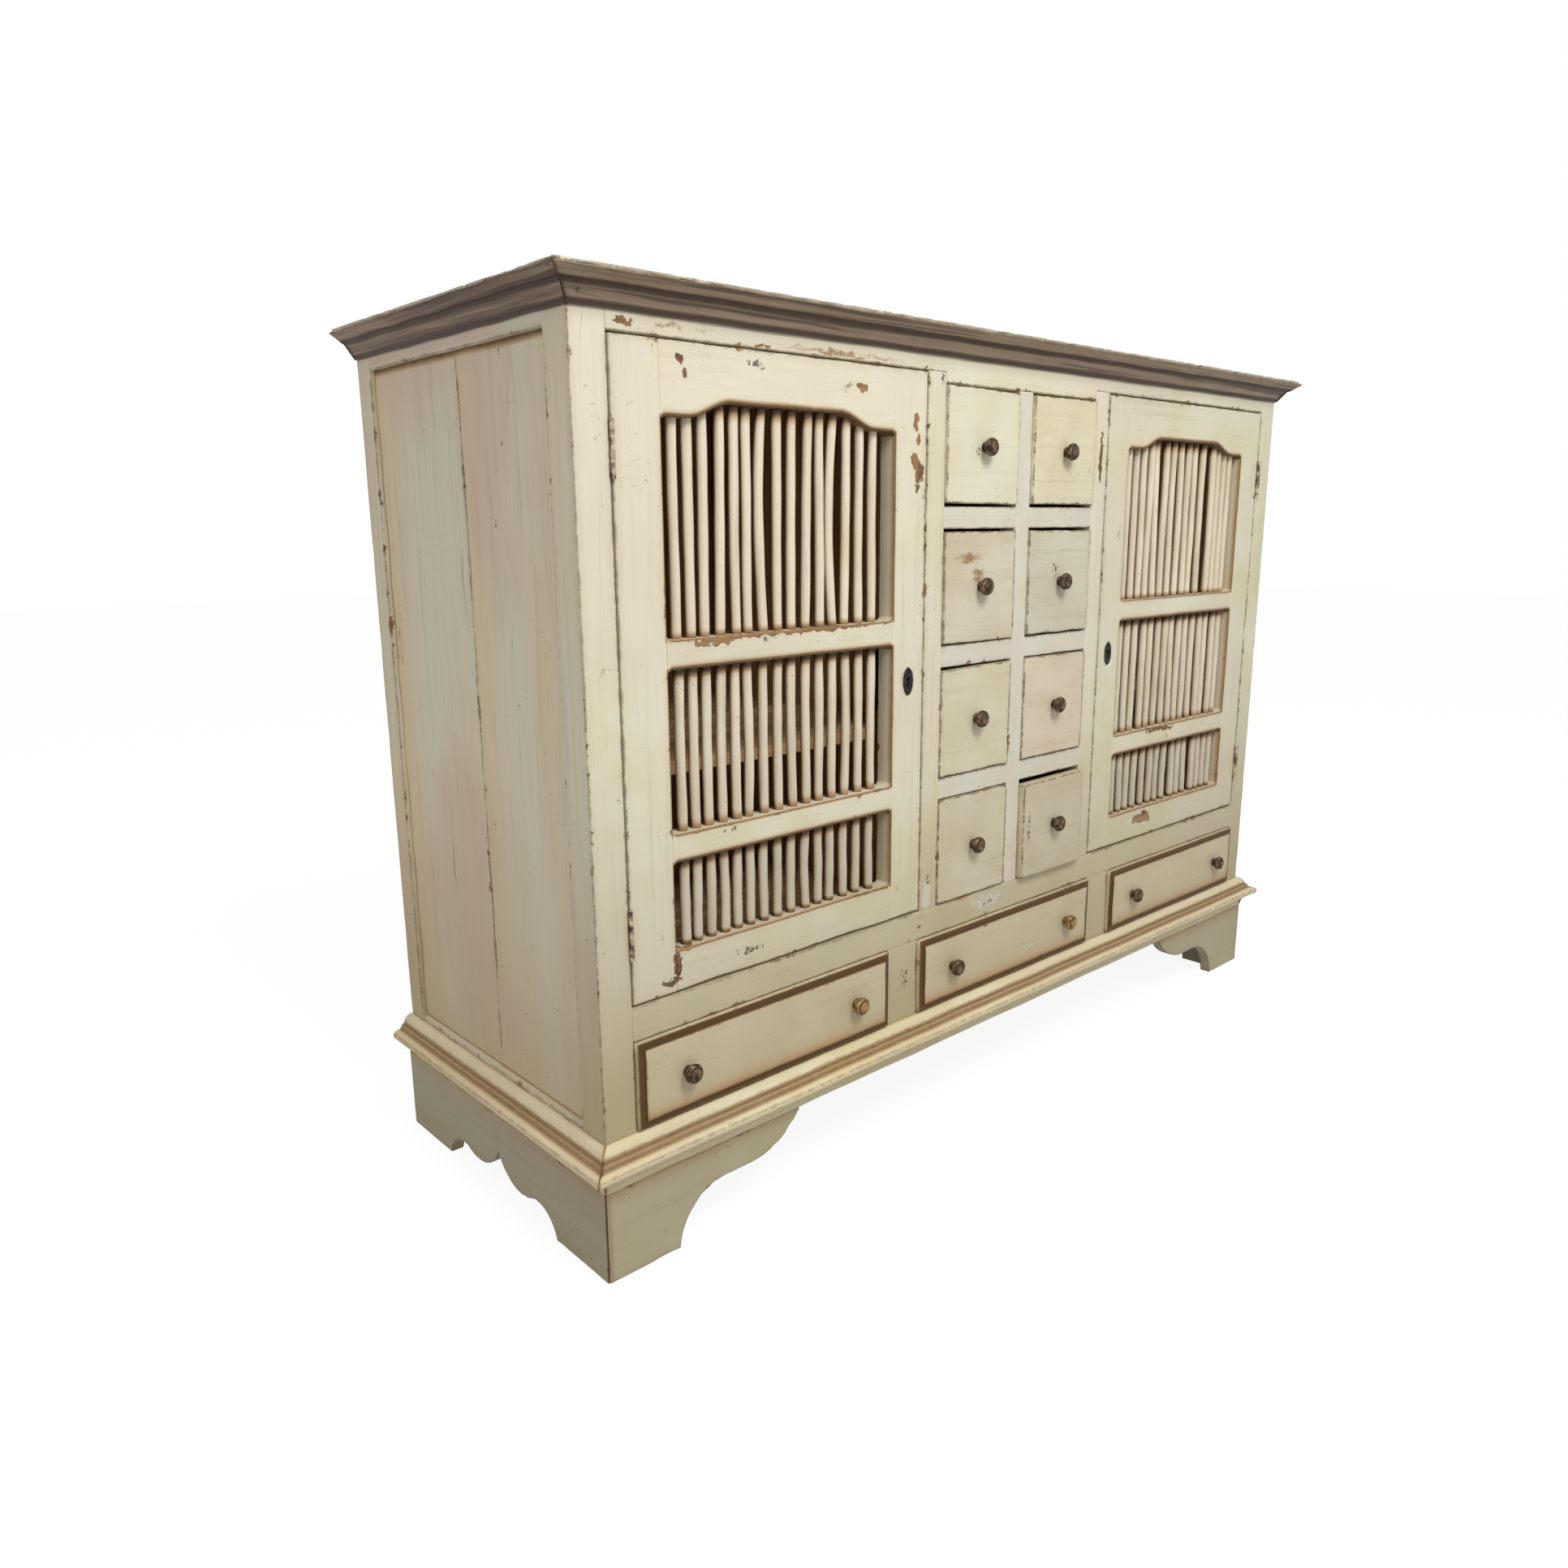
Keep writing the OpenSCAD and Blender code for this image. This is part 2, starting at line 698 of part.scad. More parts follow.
module front_bracket() {
  u_end = bracket_len;
  translate([-x_side - foot_out, -foot_out + bracket_t, 0]) rotate([90, 0, 0])
    linear_extrude(bracket_t) bracket_outline(u_end, front_cove_u, front_cove_top, front_cove_r,
                                              front_lobe_u, front_cove_top, front_lobe_r);
}

module side_skirt() {
  half = (body_d + foot_out) / 2;
  translate([-x_side - foot_out, -foot_out, 0]) rotate([90, 0, 90]) linear_extrude(bracket_t) {
    bracket_outline(half, side_cove_u, side_cove_top, side_cove_r,
                    half - side_lobe_u, side_lobe_z, side_lobe_r);
    translate([2 * half, 0]) mirror([1, 0])
      bracket_outline(half, side_cove_u, side_cove_top, side_cove_r,
                      half - side_lobe_u, side_lobe_z, side_lobe_r);
  }
}

// Cuts a mitre at the front left corner of the feet, on the front's or the side's piece
module corner_cut(is_front) {
  reach = 2 * bracket_t;
  seam = mitre_seam / 2;
  translate([-x_side - foot_out, -foot_out, -over]) linear_extrude(foot_h + 2 * over)
    polygon(is_front
      ? [[-over, -over - seam], [reach, reach - seam], [-over, reach - seam]]
      : [[-over, -over + seam], [reach, reach + seam], [reach, -over + seam]]);
}

module bracket_feet() {
  x_in = -x_side - foot_out + bracket_t;
  color(cream) seated() pair() {
    difference() {
      front_bracket();
      corner_cut(true);
    }
    difference() {
      side_skirt();
      corner_cut(false);
    }
    difference() {
      block([x_in + glue, body_d - bracket_t, 0], [x_in + back_bracket_len, body_d, foot_h]);
      translate([x_in + back_bracket_len, body_d + over, 0]) rotate([90, 0, 0])
        cylinder(h = bracket_t + 2 * over, r = back_bracket_len - foot_block);
    }
  }
}

module foot_blocks() {
  x_in = -x_side - foot_out + bracket_t;
  y_in = bracket_t - foot_out;
  color(raw_wood) seated() pair() {
    block([x_in, y_in, 0], [x_in + foot_block, y_in + foot_block, foot_h]);
    block([x_in, body_d - bracket_t - foot_block, 0],
          [x_in + foot_block, body_d - bracket_t, foot_h]);
  }
}

// Heights of a hinge's three knuckles, as [low, high]
function knuckle(mid, i) = [
  mid - hinge_len / 2 + i * hinge_len / 3 + (i > 0 ? leaf_clear / 2 : 0),
  mid - hinge_len / 2 + (i + 1) * hinge_len / 3 - (i < 2 ? leaf_clear / 2 : 0)
];

module frame_hinges() {
  color(iron) seated() pair() for (mid = hinge_mids) union() {
    block([-x_post, 0, mid - hinge_len / 2], [-x_post + leaf_t, leaf_w, mid + hinge_len / 2]);
    for (i = [0, 2]) {
      k = knuckle(mid, i);
      block([-x_post, -hinge_out, k[0]], [-x_post + leaf_t, over, k[1]]);
      translate([-x_pin, -hinge_out, k[0]]) cylinder(h = k[1] - k[0], r = knuckle_r);
    }
    translate([-x_pin, -hinge_out, mid - hinge_len / 2]) cylinder(h = hinge_len, r = pin_r);
  }
}

module door_hinges() {
  for (mid = hinge_mids) difference() {
    k = knuckle(mid, 1);
    union() {
      block([-x_door_hinge - leaf_t, 0, mid - hinge_len / 2],
            [-x_door_hinge, leaf_w, mid + hinge_len / 2]);
      block([-x_door_hinge - leaf_t, -hinge_out, k[0]], [-x_door_hinge, over, k[1]]);
      translate([-x_pin, -hinge_out, k[0]]) cylinder(h = k[1] - k[0], r = knuckle_r);
    }
    translate([-x_pin, -hinge_out, k[0] - over])
      cylinder(h = k[1] - k[0] + 2 * over, r = pin_r + pin_clear);
  }
}

// Oval keyhole plate from y0 to y1, grown by c
module oval_plate(c, y0, y1) {
  translate([0, y1, 0]) rotate([90, 0, 0]) linear_extrude(y1 - y0)
    polygon([for (i = [0:key_plate_steps - 1])
      [(key_plate_w / 2 + c) * cos(360 * i / key_plate_steps),
       (key_plate_h / 2 + c) * sin(360 * i / key_plate_steps)]]);
}

// Keyhole from y0 to y1, grown by c: a round hole over a slot
module keyhole(c, y0, y1) {
  z_round = key_slot_len / 2 - key_r;
  translate([0, y1, z_round]) rotate([90, 0, 0]) cylinder(h = y1 - y0, r = key_r + c);
  block([-key_slot_w / 2 - c, y0, -key_slot_len / 2 - key_r - c],
        [key_slot_w / 2 + c, y1, z_round]);
}

module door_stiles() {
  block([-x_door_hinge, 0, z_door], [-x_open, door_t, z_door + door_h]);
  difference() {
    block([-x_door_free - lock_stile_w, 0, z_door], [-x_door_free, door_t, z_door + door_h]);
    translate([-x_key, 0, z_key]) {
      oval_plate(key_clear, -over, key_plate_t);
      keyhole(key_clear, 0, door_t + over);
    }
  }
}

// One rod of an opening from z0 to z1, bowed sideways by bow, leaning by lean, and grown by c
module rod(x, z0, z1, bow, lean, c) {
  half = (z1 - z0) / 2;
  translate([x, rod_y, (z0 + z1) / 2]) rotate([0, atan(lean / half), 0])
    if (bow == 0) {
      translate([0, 0, -half - c]) cylinder(h = 2 * (half + c), d = rod_d + 2 * c);
    } else {
      s = sign(bow);
      radius = (half * half + bow * bow) / (2 * abs(bow));
      sweep = 2 * asin((half + c) / radius);
      translate([bow / 2 - s * radius, 0, 0]) rotate([90, 0, 0])
        rotate([0, 0, (s > 0 ? 0 : 180) - sweep / 2])
          rotate_extrude(angle = sweep, $fn = 96) translate([radius, 0]) circle(d = rod_d + 2 * c);
    }
}

// One of a rod's values in steps between rods, where a short row goes on with zeros
function of_rod(rows, k, i) = i < len(rows[k]) ? rows[k][i] * open_w / (rods_n + 1) : 0;

// The rods of all three openings, also used to cut their sockets with c over 0
module door_rods(rods, c) {
  lows = [z_top_open, z_mid_open, z_low_open];
  highs = [z_arch + arch_rise, z_mid_open + mid_open_h, z_low_open + low_open_h];
  pitch = open_w / (rods_n + 1);
  for (k = [0:2])
    for (i = [0:rods_n - 1])
      rod(-x_open + (i + 1) * pitch + of_rod(rods[0], k, i), lows[k] - rod_socket, highs[k] + rod_socket,
          of_rod(rods[1], k, i), of_rod(rods[2], k, i), c);
}

// Small rounded fillings in the corners of an opening, at its left end
module corner_filling(z, up) {
  translate([0, z]) mirror([0, up ? 0 : 1]) difference() {
    square(opening_r);
    translate([opening_r, opening_r]) circle(opening_r);
  }
}

module both_ends() {
  children();
  translate([open_w, 0]) mirror([1, 0]) children();
}

// One shoulder of the arch in the top rail, at its left end: a flat and half a cosine wave
module arch_shoulder_outline() {
  polygon(concat([[0, arch_rise], [0, 0]], [for (i = [0:arch_steps])
    [arch_shoulder + arch_run * i / arch_steps, arch_rise * (1 - cos(180 * i / arch_steps)) / 2]]));
}

module door_rails_outline() {
  z_top_edge = z_door + door_h;
  translate([0, z_arch + arch_rise]) square([open_w, z_top_edge - z_arch - arch_rise]);
  both_ends() {
    translate([0, z_arch]) arch_shoulder_outline();
    corner_filling(z_arch, false);
  }
  for (z = [z_mid_open + mid_open_h, z_low_open + low_open_h]) {
    translate([0, z]) square([open_w, door_mid_h]);
    both_ends() {
      corner_filling(z, false);
      corner_filling(z + door_mid_h, true);
    }
  }
  translate([0, z_door]) square([open_w, door_low_h]);
  both_ends() corner_filling(z_low_open, true);
}

module door_rails(rods) {
  difference() {
    translate([-x_open, door_t, 0]) rotate([90, 0, 0]) linear_extrude(door_t)
      door_rails_outline();
    door_rods(rods, rod_clear);
  }
}

// Lock case behind the stile, and the keyhole plate let into its face
module door_lock() {
  x_edge = -x_door_free - lock_in;
  difference() {
    block([x_edge - lock_w, door_t, z_key - lock_h / 2], [x_edge, door_t + lock_t, z_key + lock_h / 2]);
    block([x_edge - bolt_len - bolt_throw - bolt_clear, y_bolt - bolt_clear,
           z_key - bolt_h / 2 - bolt_clear],
          [x_edge + over, y_bolt + bolt_t + bolt_clear, z_key + bolt_h / 2 + bolt_clear]);
  }
  translate([-x_key, 0, z_key]) difference() {
    oval_plate(0, 0, key_plate_t);
    keyhole(0, -over, key_plate_t + over);
  }
}

module lock_bolt() {
  x_edge = -x_door_free - lock_in;
  block([x_edge - bolt_len, y_bolt, z_key - bolt_h / 2],
        [x_edge, y_bolt + bolt_t, z_key + bolt_h / 2]);
}

// side is -1 for the left and 1 for the right
module on_side(side) {
  if (side < 0) children();
  else mirror([1, 0, 0]) children();
}

// Turned knob with its rose on y = 0, pointing to -y, and its shank behind
module knob() {
  rim_z = knob_len - button_h - knob_round;
  rotate([90, 0, 0]) rotate_extrude() intersection() {
    union() {
      translate([-over, -shank_len]) square([shank_r + over, shank_len + over]);
      translate([-over, 0]) square([rose_r + over, rose_t]);
      translate([-over, 0]) square([neck_r + over, rim_z]);
      translate([knob_r - knob_round, rim_z]) circle(knob_round);
      translate([-over, rim_z - knob_round])
        square([knob_r - knob_round + over, 2 * knob_round]);
      translate([0, knob_len - button_r]) circle(button_r);
    }
    translate([0, -shank_len]) square([knob_r, shank_len + knob_len]);
  }
}

module knob_socket(depth) {
  translate([0, depth, 0]) rotate([90, 0, 0])
    cylinder(h = depth + over, r = shank_r + shank_clear);
}

// Places children at the lower middle of a small drawer's opening, pulled out as at rest
module at_spice(row, side) {
  out = side < 0 ? spice_out_left[row - 1] : spice_out_right[row - 1];
  seated() translate([side * (divider_w + spice_open_w) / 2, -out, spice_z(row)]) children();
}

// Sides, bottom and back of a drawer, from y0 to depth, between x = -half and half
module drawer_box(half, y0, depth, side_t, side_h) {
  x_in = half - side_t - glue;
  z_bottom = run_gap + bottom_up;
  pair() block([-half, y0, run_gap], [side_t - half, depth, side_h]);
  block([-x_in, y0, z_bottom], [x_in, depth, z_bottom + bottom_t]);
  block([-x_in, depth - side_t, z_bottom + bottom_t + glue], [x_in, depth, side_h]);
}

module spice_drawer(row, side) {
  half = spice_open_w / 2 - drawer_gap;
  at_spice(row, side) {
    color(cream) difference() {
      block([-half, 0, drawer_gap], [half, spice_front_t, spice_open_h - drawer_gap]);
      translate([0, 0, spice_open_h / 2]) knob_socket(shank_len + shank_clear);
    }
    color(raw_wood)
      drawer_box(half, spice_front_t + glue, spice_depth, spice_side_t, spice_side_h);
  }
}

module spice_knob(row, side) {
  color(aged_brass) at_spice(row, side) translate([0, 0, spice_open_h / 2]) knob();
}

// Places children at the lower middle of a long drawer's opening; place is -1, 0 or 1
module at_long(place) {
  seated() translate([place * (long_open_w + muntin_w), 0, z_long]) children();
}

module long_front(place) {
  half = long_open_w / 2 - drawer_gap;
  top = long_open_h - drawer_gap;
  at_long(place) difference() {
    color(cream) union() {
      block([-half, border_deep - long_proud, drawer_gap], [half, long_front_t, top]);
      block([border_w - half, -long_proud, drawer_gap + border_w],
            [half - border_w, long_front_t, top - border_w]);
    }
    pair() translate([long_knob_in - half, -long_proud, long_open_h / 2])
      knob_socket(shank_len + shank_clear);
  }
}

module long_box(place) {
  color(raw_wood) at_long(place)
    drawer_box(long_open_w / 2 - drawer_gap, long_front_t, long_depth, long_side_t, long_side_h);
}

module long_knobs(place) {
  half = long_open_w / 2 - drawer_gap;
  color(aged_brass) at_long(place)
    pair() translate([long_knob_in - half, -long_proud, long_open_h / 2]) knob();
}

front_posts();
back_posts();
side_rails();
side_boards();
top_rail();
waist_rail();
base_rail();
centre_posts();
lower_muntins();
spice_frame();
partitions();
dust_boards();
cupboard_shelves();
cupboard_floor();
drawer_runners();
back_boards();
back_rails();
top_boards();
cornice();
plinth_moulding();
bracket_feet();
foot_blocks();
frame_hinges();
color(cream) seated() door_stiles();  // left_door_stiles
color(cream) seated() door_rails(left_rods);  // left_door_rails
color(cream) seated() door_rods(left_rods, 0);  // left_door_rods
color(iron) seated() door_lock();  // left_door_lock
color(aged_brass) seated() lock_bolt();  // left_lock_bolt
color(iron) seated() door_hinges();  // left_door_hinges
color(cream) seated() on_side(1) door_stiles();  // right_door_stiles
color(cream) seated() on_side(1) door_rails(right_rods);  // right_door_rails
color(cream) seated() on_side(1) door_rods(right_rods, 0);  // right_door_rods
color(iron) seated() on_side(1) door_lock();  // right_door_lock
color(aged_brass) seated() on_side(1) lock_bolt();  // right_lock_bolt
color(iron) seated() on_side(1) door_hinges();  // right_door_hinges
spice_drawer(1, -1);  // spice_drawer_1_left
spice_drawer(2, -1);  // spice_drawer_2_left
spice_drawer(3, -1);  // spice_drawer_3_left
spice_drawer(4, -1);  // spice_drawer_4_left
spice_drawer(1, 1);  // spice_drawer_1_right
spice_drawer(2, 1);  // spice_drawer_2_right
spice_drawer(3, 1);  // spice_drawer_3_right
spice_drawer(4, 1);  // spice_drawer_4_right
spice_knob(1, -1);  // spice_knob_1_left
spice_knob(2, -1);  // spice_knob_2_left
spice_knob(3, -1);  // spice_knob_3_left
spice_knob(4, -1);  // spice_knob_4_left
spice_knob(1, 1);  // spice_knob_1_right
spice_knob(2, 1);  // spice_knob_2_right
spice_knob(3, 1);  // spice_knob_3_right
spice_knob(4, 1);  // spice_knob_4_right
long_front(-1);  // long_front_left
long_box(-1);  // long_box_left
long_knobs(-1);  // long_knobs_left
long_front(0);  // long_front_middle
long_box(0);  // long_box_middle
long_knobs(0);  // long_knobs_middle
long_front(1);  // long_front_right
long_box(1);  // long_box_right
long_knobs(1);  // long_knobs_right
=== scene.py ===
import json
import math
import bmesh
import bpy
import numpy as np
from mathutils import Matrix, Vector


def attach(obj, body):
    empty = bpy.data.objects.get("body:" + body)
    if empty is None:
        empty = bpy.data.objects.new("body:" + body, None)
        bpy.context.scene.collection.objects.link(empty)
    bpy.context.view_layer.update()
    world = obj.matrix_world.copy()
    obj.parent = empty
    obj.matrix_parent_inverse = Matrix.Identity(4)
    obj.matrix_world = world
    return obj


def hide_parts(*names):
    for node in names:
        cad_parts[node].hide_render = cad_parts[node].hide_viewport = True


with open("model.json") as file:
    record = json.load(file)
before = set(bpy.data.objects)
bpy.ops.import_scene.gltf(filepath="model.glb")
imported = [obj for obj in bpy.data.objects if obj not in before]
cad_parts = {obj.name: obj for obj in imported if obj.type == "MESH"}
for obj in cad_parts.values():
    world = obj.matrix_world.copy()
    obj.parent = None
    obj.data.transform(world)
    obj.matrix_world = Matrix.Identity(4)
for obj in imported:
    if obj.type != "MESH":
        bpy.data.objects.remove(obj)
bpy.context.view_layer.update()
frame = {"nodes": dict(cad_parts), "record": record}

bodyOfNode = {n: body for body, nodes in frame["record"]["behaviour"]["bodies"].items() for n in nodes}
sides = ("left", "right")
print("frame loaded:", len(frame["nodes"]), "nodes")

# Shader nodes


def tint(red, green, blue):
    # a colour given as 0 to 255 on the screen, as the shader's linear values
    level = np.array([red, green, blue]) / 255
    return (*np.where(level <= 0.04045, level / 12.92, ((level + 0.055) / 1.055) ** 2.4), 1.0)


def addNode(tree, kind, feeds=(), **settings):
    # feeds gives the node's inputs by place or name: fields, sockets or plain values
    node = tree.nodes.new("ShaderNode" + kind)
    for key, value in settings.items():
        setattr(node, key, value)
    for key, value in dict(feeds).items():
        value = getattr(value, "socket", value)
        if isinstance(value, bpy.types.NodeSocket):
            tree.links.new(value, node.inputs[key])
        else:
            node.inputs[key].default_value = value
    return node


class Field:
    # a number, place or colour that the shader works out for each spot of a surface
    def __init__(self, tree, socket):
        self.tree, self.socket = tree, socket

    def node(self, kind, output, feeds, **settings):
        return Field(self.tree, addNode(self.tree, kind, feeds, **settings).outputs[output])

    def __mul__(self, other):
        return self.node("Math", 0, {0: self, 1: other}, operation="MULTIPLY")

    def __add__(self, other):
        return self.node("Math", 0, {0: self, 1: other}, operation="ADD")

    def larger(self, other):
        return self.node("Math", 0, {0: self, 1: other}, operation="MAXIMUM")

    def size(self):
        return self.node("Math", 0, {0: self}, operation="ABSOLUTE")

    def rise(self, low, high):
        # 0 below low and 1 above high, with soft ends; low may be over high
        feeds = {"Value": self, "From Min": min(low, high), "From Max": max(low, high)}
        if low > high:
            feeds.update({"To Min": 1.0, "To Max": 0.0})
        return self.node("MapRange", "Result", feeds, interpolation_type="SMOOTHSTEP")

    def mix(self, first, second):
        # from the first colour at 0 to the second at 1
        return self.node("Mix", "Result", {"Factor": self, "A": first, "B": second}, data_type="RGBA")

    def vector(self, operation, *others):
        output = "Value" if operation == "LENGTH" else "Vector"
        return self.node("VectorMath", output, enumerate((self, *others)), operation=operation)

    def noise(self, scale, detail=4.0, rough=0.55, stretch=None):
        spots = self.vector("MULTIPLY", stretch) if stretch else self
        feeds = {"Vector": spots, "Scale": scale, "Detail": detail, "Roughness": rough}
        return self.node("TexNoise", "Fac", feeds)

    def parts(self):
        return [self.node("SeparateXYZ", k, {0: self}) for k in range(3)]

    def warped(self, scale, reach):
        # the place moved about by up to the given metres, so that round shapes turn ragged
        noise = self.node("TexNoise", "Color", {"Vector": self, "Scale": scale, "Detail": 4.0})
        return noise.vector("MULTIPLY_ADD", (reach,) * 3, self).vector("SUBTRACT", (reach / 2,) * 3)

    def patches(self, ovals):
        # 1 inside each oval of the front, falling to 0 at its border
        most = None
        for x, z, wide, high in ovals:
            fromMiddle = self.vector("SUBTRACT", (x / 1000, 0, z / 1000))
            scaled = fromMiddle.vector("MULTIPLY", (1000 / wide, 0, 1000 / high))
            patch = scaled.vector("LENGTH").rise(1.0, 0.3)
            most = patch if most is None else most.larger(patch)
        return most


def freshMaterial(name):
    material = bpy.data.materials.new(name)
    material.use_nodes = True
    material.node_tree.nodes.clear()
    return material, material.node_tree


def surfaceFields(tree):
    # object coordinates, the board's own coordinates and the three numbers of its wear and painted shade: gap
    # from a free edge, tone, and share of the darker side colours
    place = Field(tree, tree.nodes.new("ShaderNodeTexCoord").outputs["Object"])
    grain, wear = (place.node("Attribute", "Vector", {}, attribute_name=key) for key in ("grain", "wear"))
    return place, grain, *wear.parts()


def finishedMaterial(material, color, roughness, height, depth, metallic=0.0):
    # the surface shader, with a bump of the given depth in metres
    tree = material.node_tree
    bump = addNode(tree, "Bump", {"Strength": 1.0, "Distance": depth, "Height": height})
    shader = addNode(tree, "BsdfPrincipled", {"Normal": bump.outputs[0], "Base Color": color,
                                              "Roughness": roughness, "Metallic": metallic})
    addNode(tree, "OutputMaterial", {0: shader.outputs[0]})
    return material


# Camera, lights and floor

cameraSettings = {"place": (-1.3489, -1.2230, 0.8381), "yaw": 42.068, "down": 12.66, "roll": -0.477,
                  "lens": 26.298, "sensor": 36.0, "near": 0.05, "far": 100.0}


def addObject(name, data):
    thing = bpy.data.objects.new(name, data)
    bpy.context.scene.collection.objects.link(thing)
    return thing


def makeCamera(s):
    yaw, down, roll = (math.radians(s[k]) for k in ("yaw", "down", "roll"))
    ahead = np.array([math.sin(yaw) * math.cos(down), math.cos(yaw) * math.cos(down), -math.sin(down)])
    right = np.array([math.cos(yaw), -math.sin(yaw), 0.0])
    up = np.cross(right, ahead)
    right, up = math.cos(roll) * right + math.sin(roll) * up, math.cos(roll) * up - math.sin(roll) * right
    data = bpy.data.cameras.new("camera")
    data.lens, data.sensor_width = s["lens"], s["sensor"]
    data.clip_start, data.clip_end = s["near"], s["far"]
    camera = addObject("camera", data)
    turn = Matrix((right, up, -ahead)).transposed().to_4x4()
    camera.matrix_world = Matrix.Translation(s["place"]) @ turn
    bpy.context.scene.camera = camera


lampSettings = {
    "key": {"place": (-0.6, -1.85, 2.55), "aim": (0.0, -0.2, 0.9), "size": 0.9, "watts": 39.0},
    "fill": {"place": (-3.2, -1.2, 2.4), "aim": (-0.2, 0.0, 0.6), "size": 2.4, "watts": 13.0}}
roomSettings = {"light": 0.52, "lightColor": (1.0, 0.995, 0.98, 1), "floorHalf": 14,
                "floorColor": (0.5, 0.5, 0.49, 1), "floorShare": 0.7, "floorGlow": 1.3}


def makeLamp(name, s):
    data = bpy.data.lights.new(name, "AREA")
    data.size, data.energy = s["size"], s["watts"]
    back = Vector(s["place"]) - Vector(s["aim"])
    turn = back.to_track_quat("Z", "Y").to_matrix().to_4x4()
    addObject(name, data).matrix_world = Matrix.Translation(s["place"]) @ turn


def seenRays(tree):
    # 1 for the rays that show the background: camera, glossy and transmission rays
    rays = tree.nodes.new("ShaderNodeLightPath").outputs
    seen = Field(tree, rays["Is Camera Ray"])
    return seen.larger(rays["Is Glossy Ray"]).larger(rays["Is Transmission Ray"])


def makeWorld(s):
    world = bpy.data.worlds.new("studio")
    bpy.context.scene.world = world
    world.use_nodes = True
    tree = world.node_tree
    tree.nodes.clear()
    soft = addNode(tree, "Background", {"Color": s["lightColor"], "Strength": s["light"]})
    white = addNode(tree, "Background", {"Color": (1, 1, 1, 1)})
    mixed = addNode(tree, "MixShader", {0: seenRays(tree), 1: soft.outputs[0], 2: white.outputs[0]})
    addNode(tree, "OutputWorld", {0: mixed.outputs[0]})


def makeFloor(s):
    mesh = bpy.data.meshes.new("floor")
    corners = [(x * s["floorHalf"], y * s["floorHalf"], 0) for x, y in ((-1, -1), (1, -1), (1, 1), (-1, 1))]
    mesh.from_pydata(corners, [], [range(4)])
    floor = addObject("floor", mesh)
    material, tree = freshMaterial("floor")
    pale = addNode(tree, "BsdfDiffuse", {"Color": s["floorColor"]})
    glow = addNode(tree, "Emission", {"Strength": s["floorGlow"]})
    seen = seenRays(tree) * s["floorShare"]
    mixed = addNode(tree, "MixShader", {0: seen, 1: pale.outputs[0], 2: glow.outputs[0]})
    addNode(tree, "OutputMaterial", {0: mixed.outputs[0]})
    mesh.materials.append(material)


makeCamera(cameraSettings)
for lampName, settings in lampSettings.items():
    makeLamp(lampName, settings)
makeWorld(roomSettings)
makeFloor(roomSettings)
bpy.context.scene.view_settings.view_transform = "Standard"
print("camera and lights ready")

# Old paint, wood and metal

paintSettings = {
    "light": (237, 232, 208), "warm": (230, 222, 186), "pink": (234, 222, 202),
    # darker copies of the paint for the case's outer sides: painted shade, with their own streaks
    "sideLight": (226, 219, 196), "sideWarm": (229, 208, 172), "sidePink": (222, 193, 172),
    # the glaze and wax colours serve brown wax, and painted shade where a tone asks for it
    "sideDark": (176, 164, 144), "glazeColor": (104, 78, 46), "waxColor": (192, 152, 104),
    "woodLight": (168, 128, 86), "woodDark": (106, 76, 48), "speckColor": (66, 51, 38),
    # the first colour on the next line, with the last two numbers two lines below, darkens the paint towards
    # the bottom: painted shade
    "dirtColor": (176, 160, 118), "paleColor": (228, 221, 216), "smearColor": (152, 110, 64),
    "bandColor": (172, 156, 138), "streak": 0.26, "fine": 0.2, "glaze": 0.6, "glazeWidth": 2.4,
    "chipAt": 0.71, "chipEdge": 0.12, "specks": 0.8, "cracks": 0.45, "dirtTop": 0.75, "dirt": 0.7,
    "band": 0.0, "warp": (75.0, 0.018), "scars": (), "marks": (), "pales": (), "smears": ()}

# middles and half sizes in mm of patches on the front, from the photo: paint worn off, clusters of dark
# marks, white smears
frontScars = ((-594, 1007, 7, 9), (-586, 995, 7, 9), (-320, 998, 18, 8), (-226, 964, 7, 20),
              (-226, 918, 12, 17), (-218, 902, 14, 19), (-223, 884, 7, 11), (-222, 942, 7, 12),
              (-617, 352, 8, 26), (-627, 333, 24, 5), (-660, 1037, 28, 5), (-478, 1031, 22, 4),
              (-442, 718, 180, 4), (-560, 714, 50, 8), (-598, 372, 26, 5), (364, 350, 46, 15),
              (411, 499, 60, 5), (188, 934, 7, 56))
frontMarks = ((-233, 225, 18, 32), (-188, 358, 9, 20), (-200, 294, 14, 6), (-616, 350, 9, 34),
              (-625, 334, 24, 7), (-487, 1011, 24, 9), (-103, 936, 15, 14), (19, 908, 6, 7),
              (78, 772, 12, 18), (-175, 1017, 8, 13), (-535, 497, 36, 6), (-511, 343, 56, 7),
              (-471, 710, 20, 6), (-57, 300, 50, 12), (691, 900, 8, 50), (690, 414, 8, 40),
              (-206, 850, 6, 90))
frontPales = ((-640, 1011, 15, 12), (-57, 300, 56, 15), (-188, 335, 15, 42))


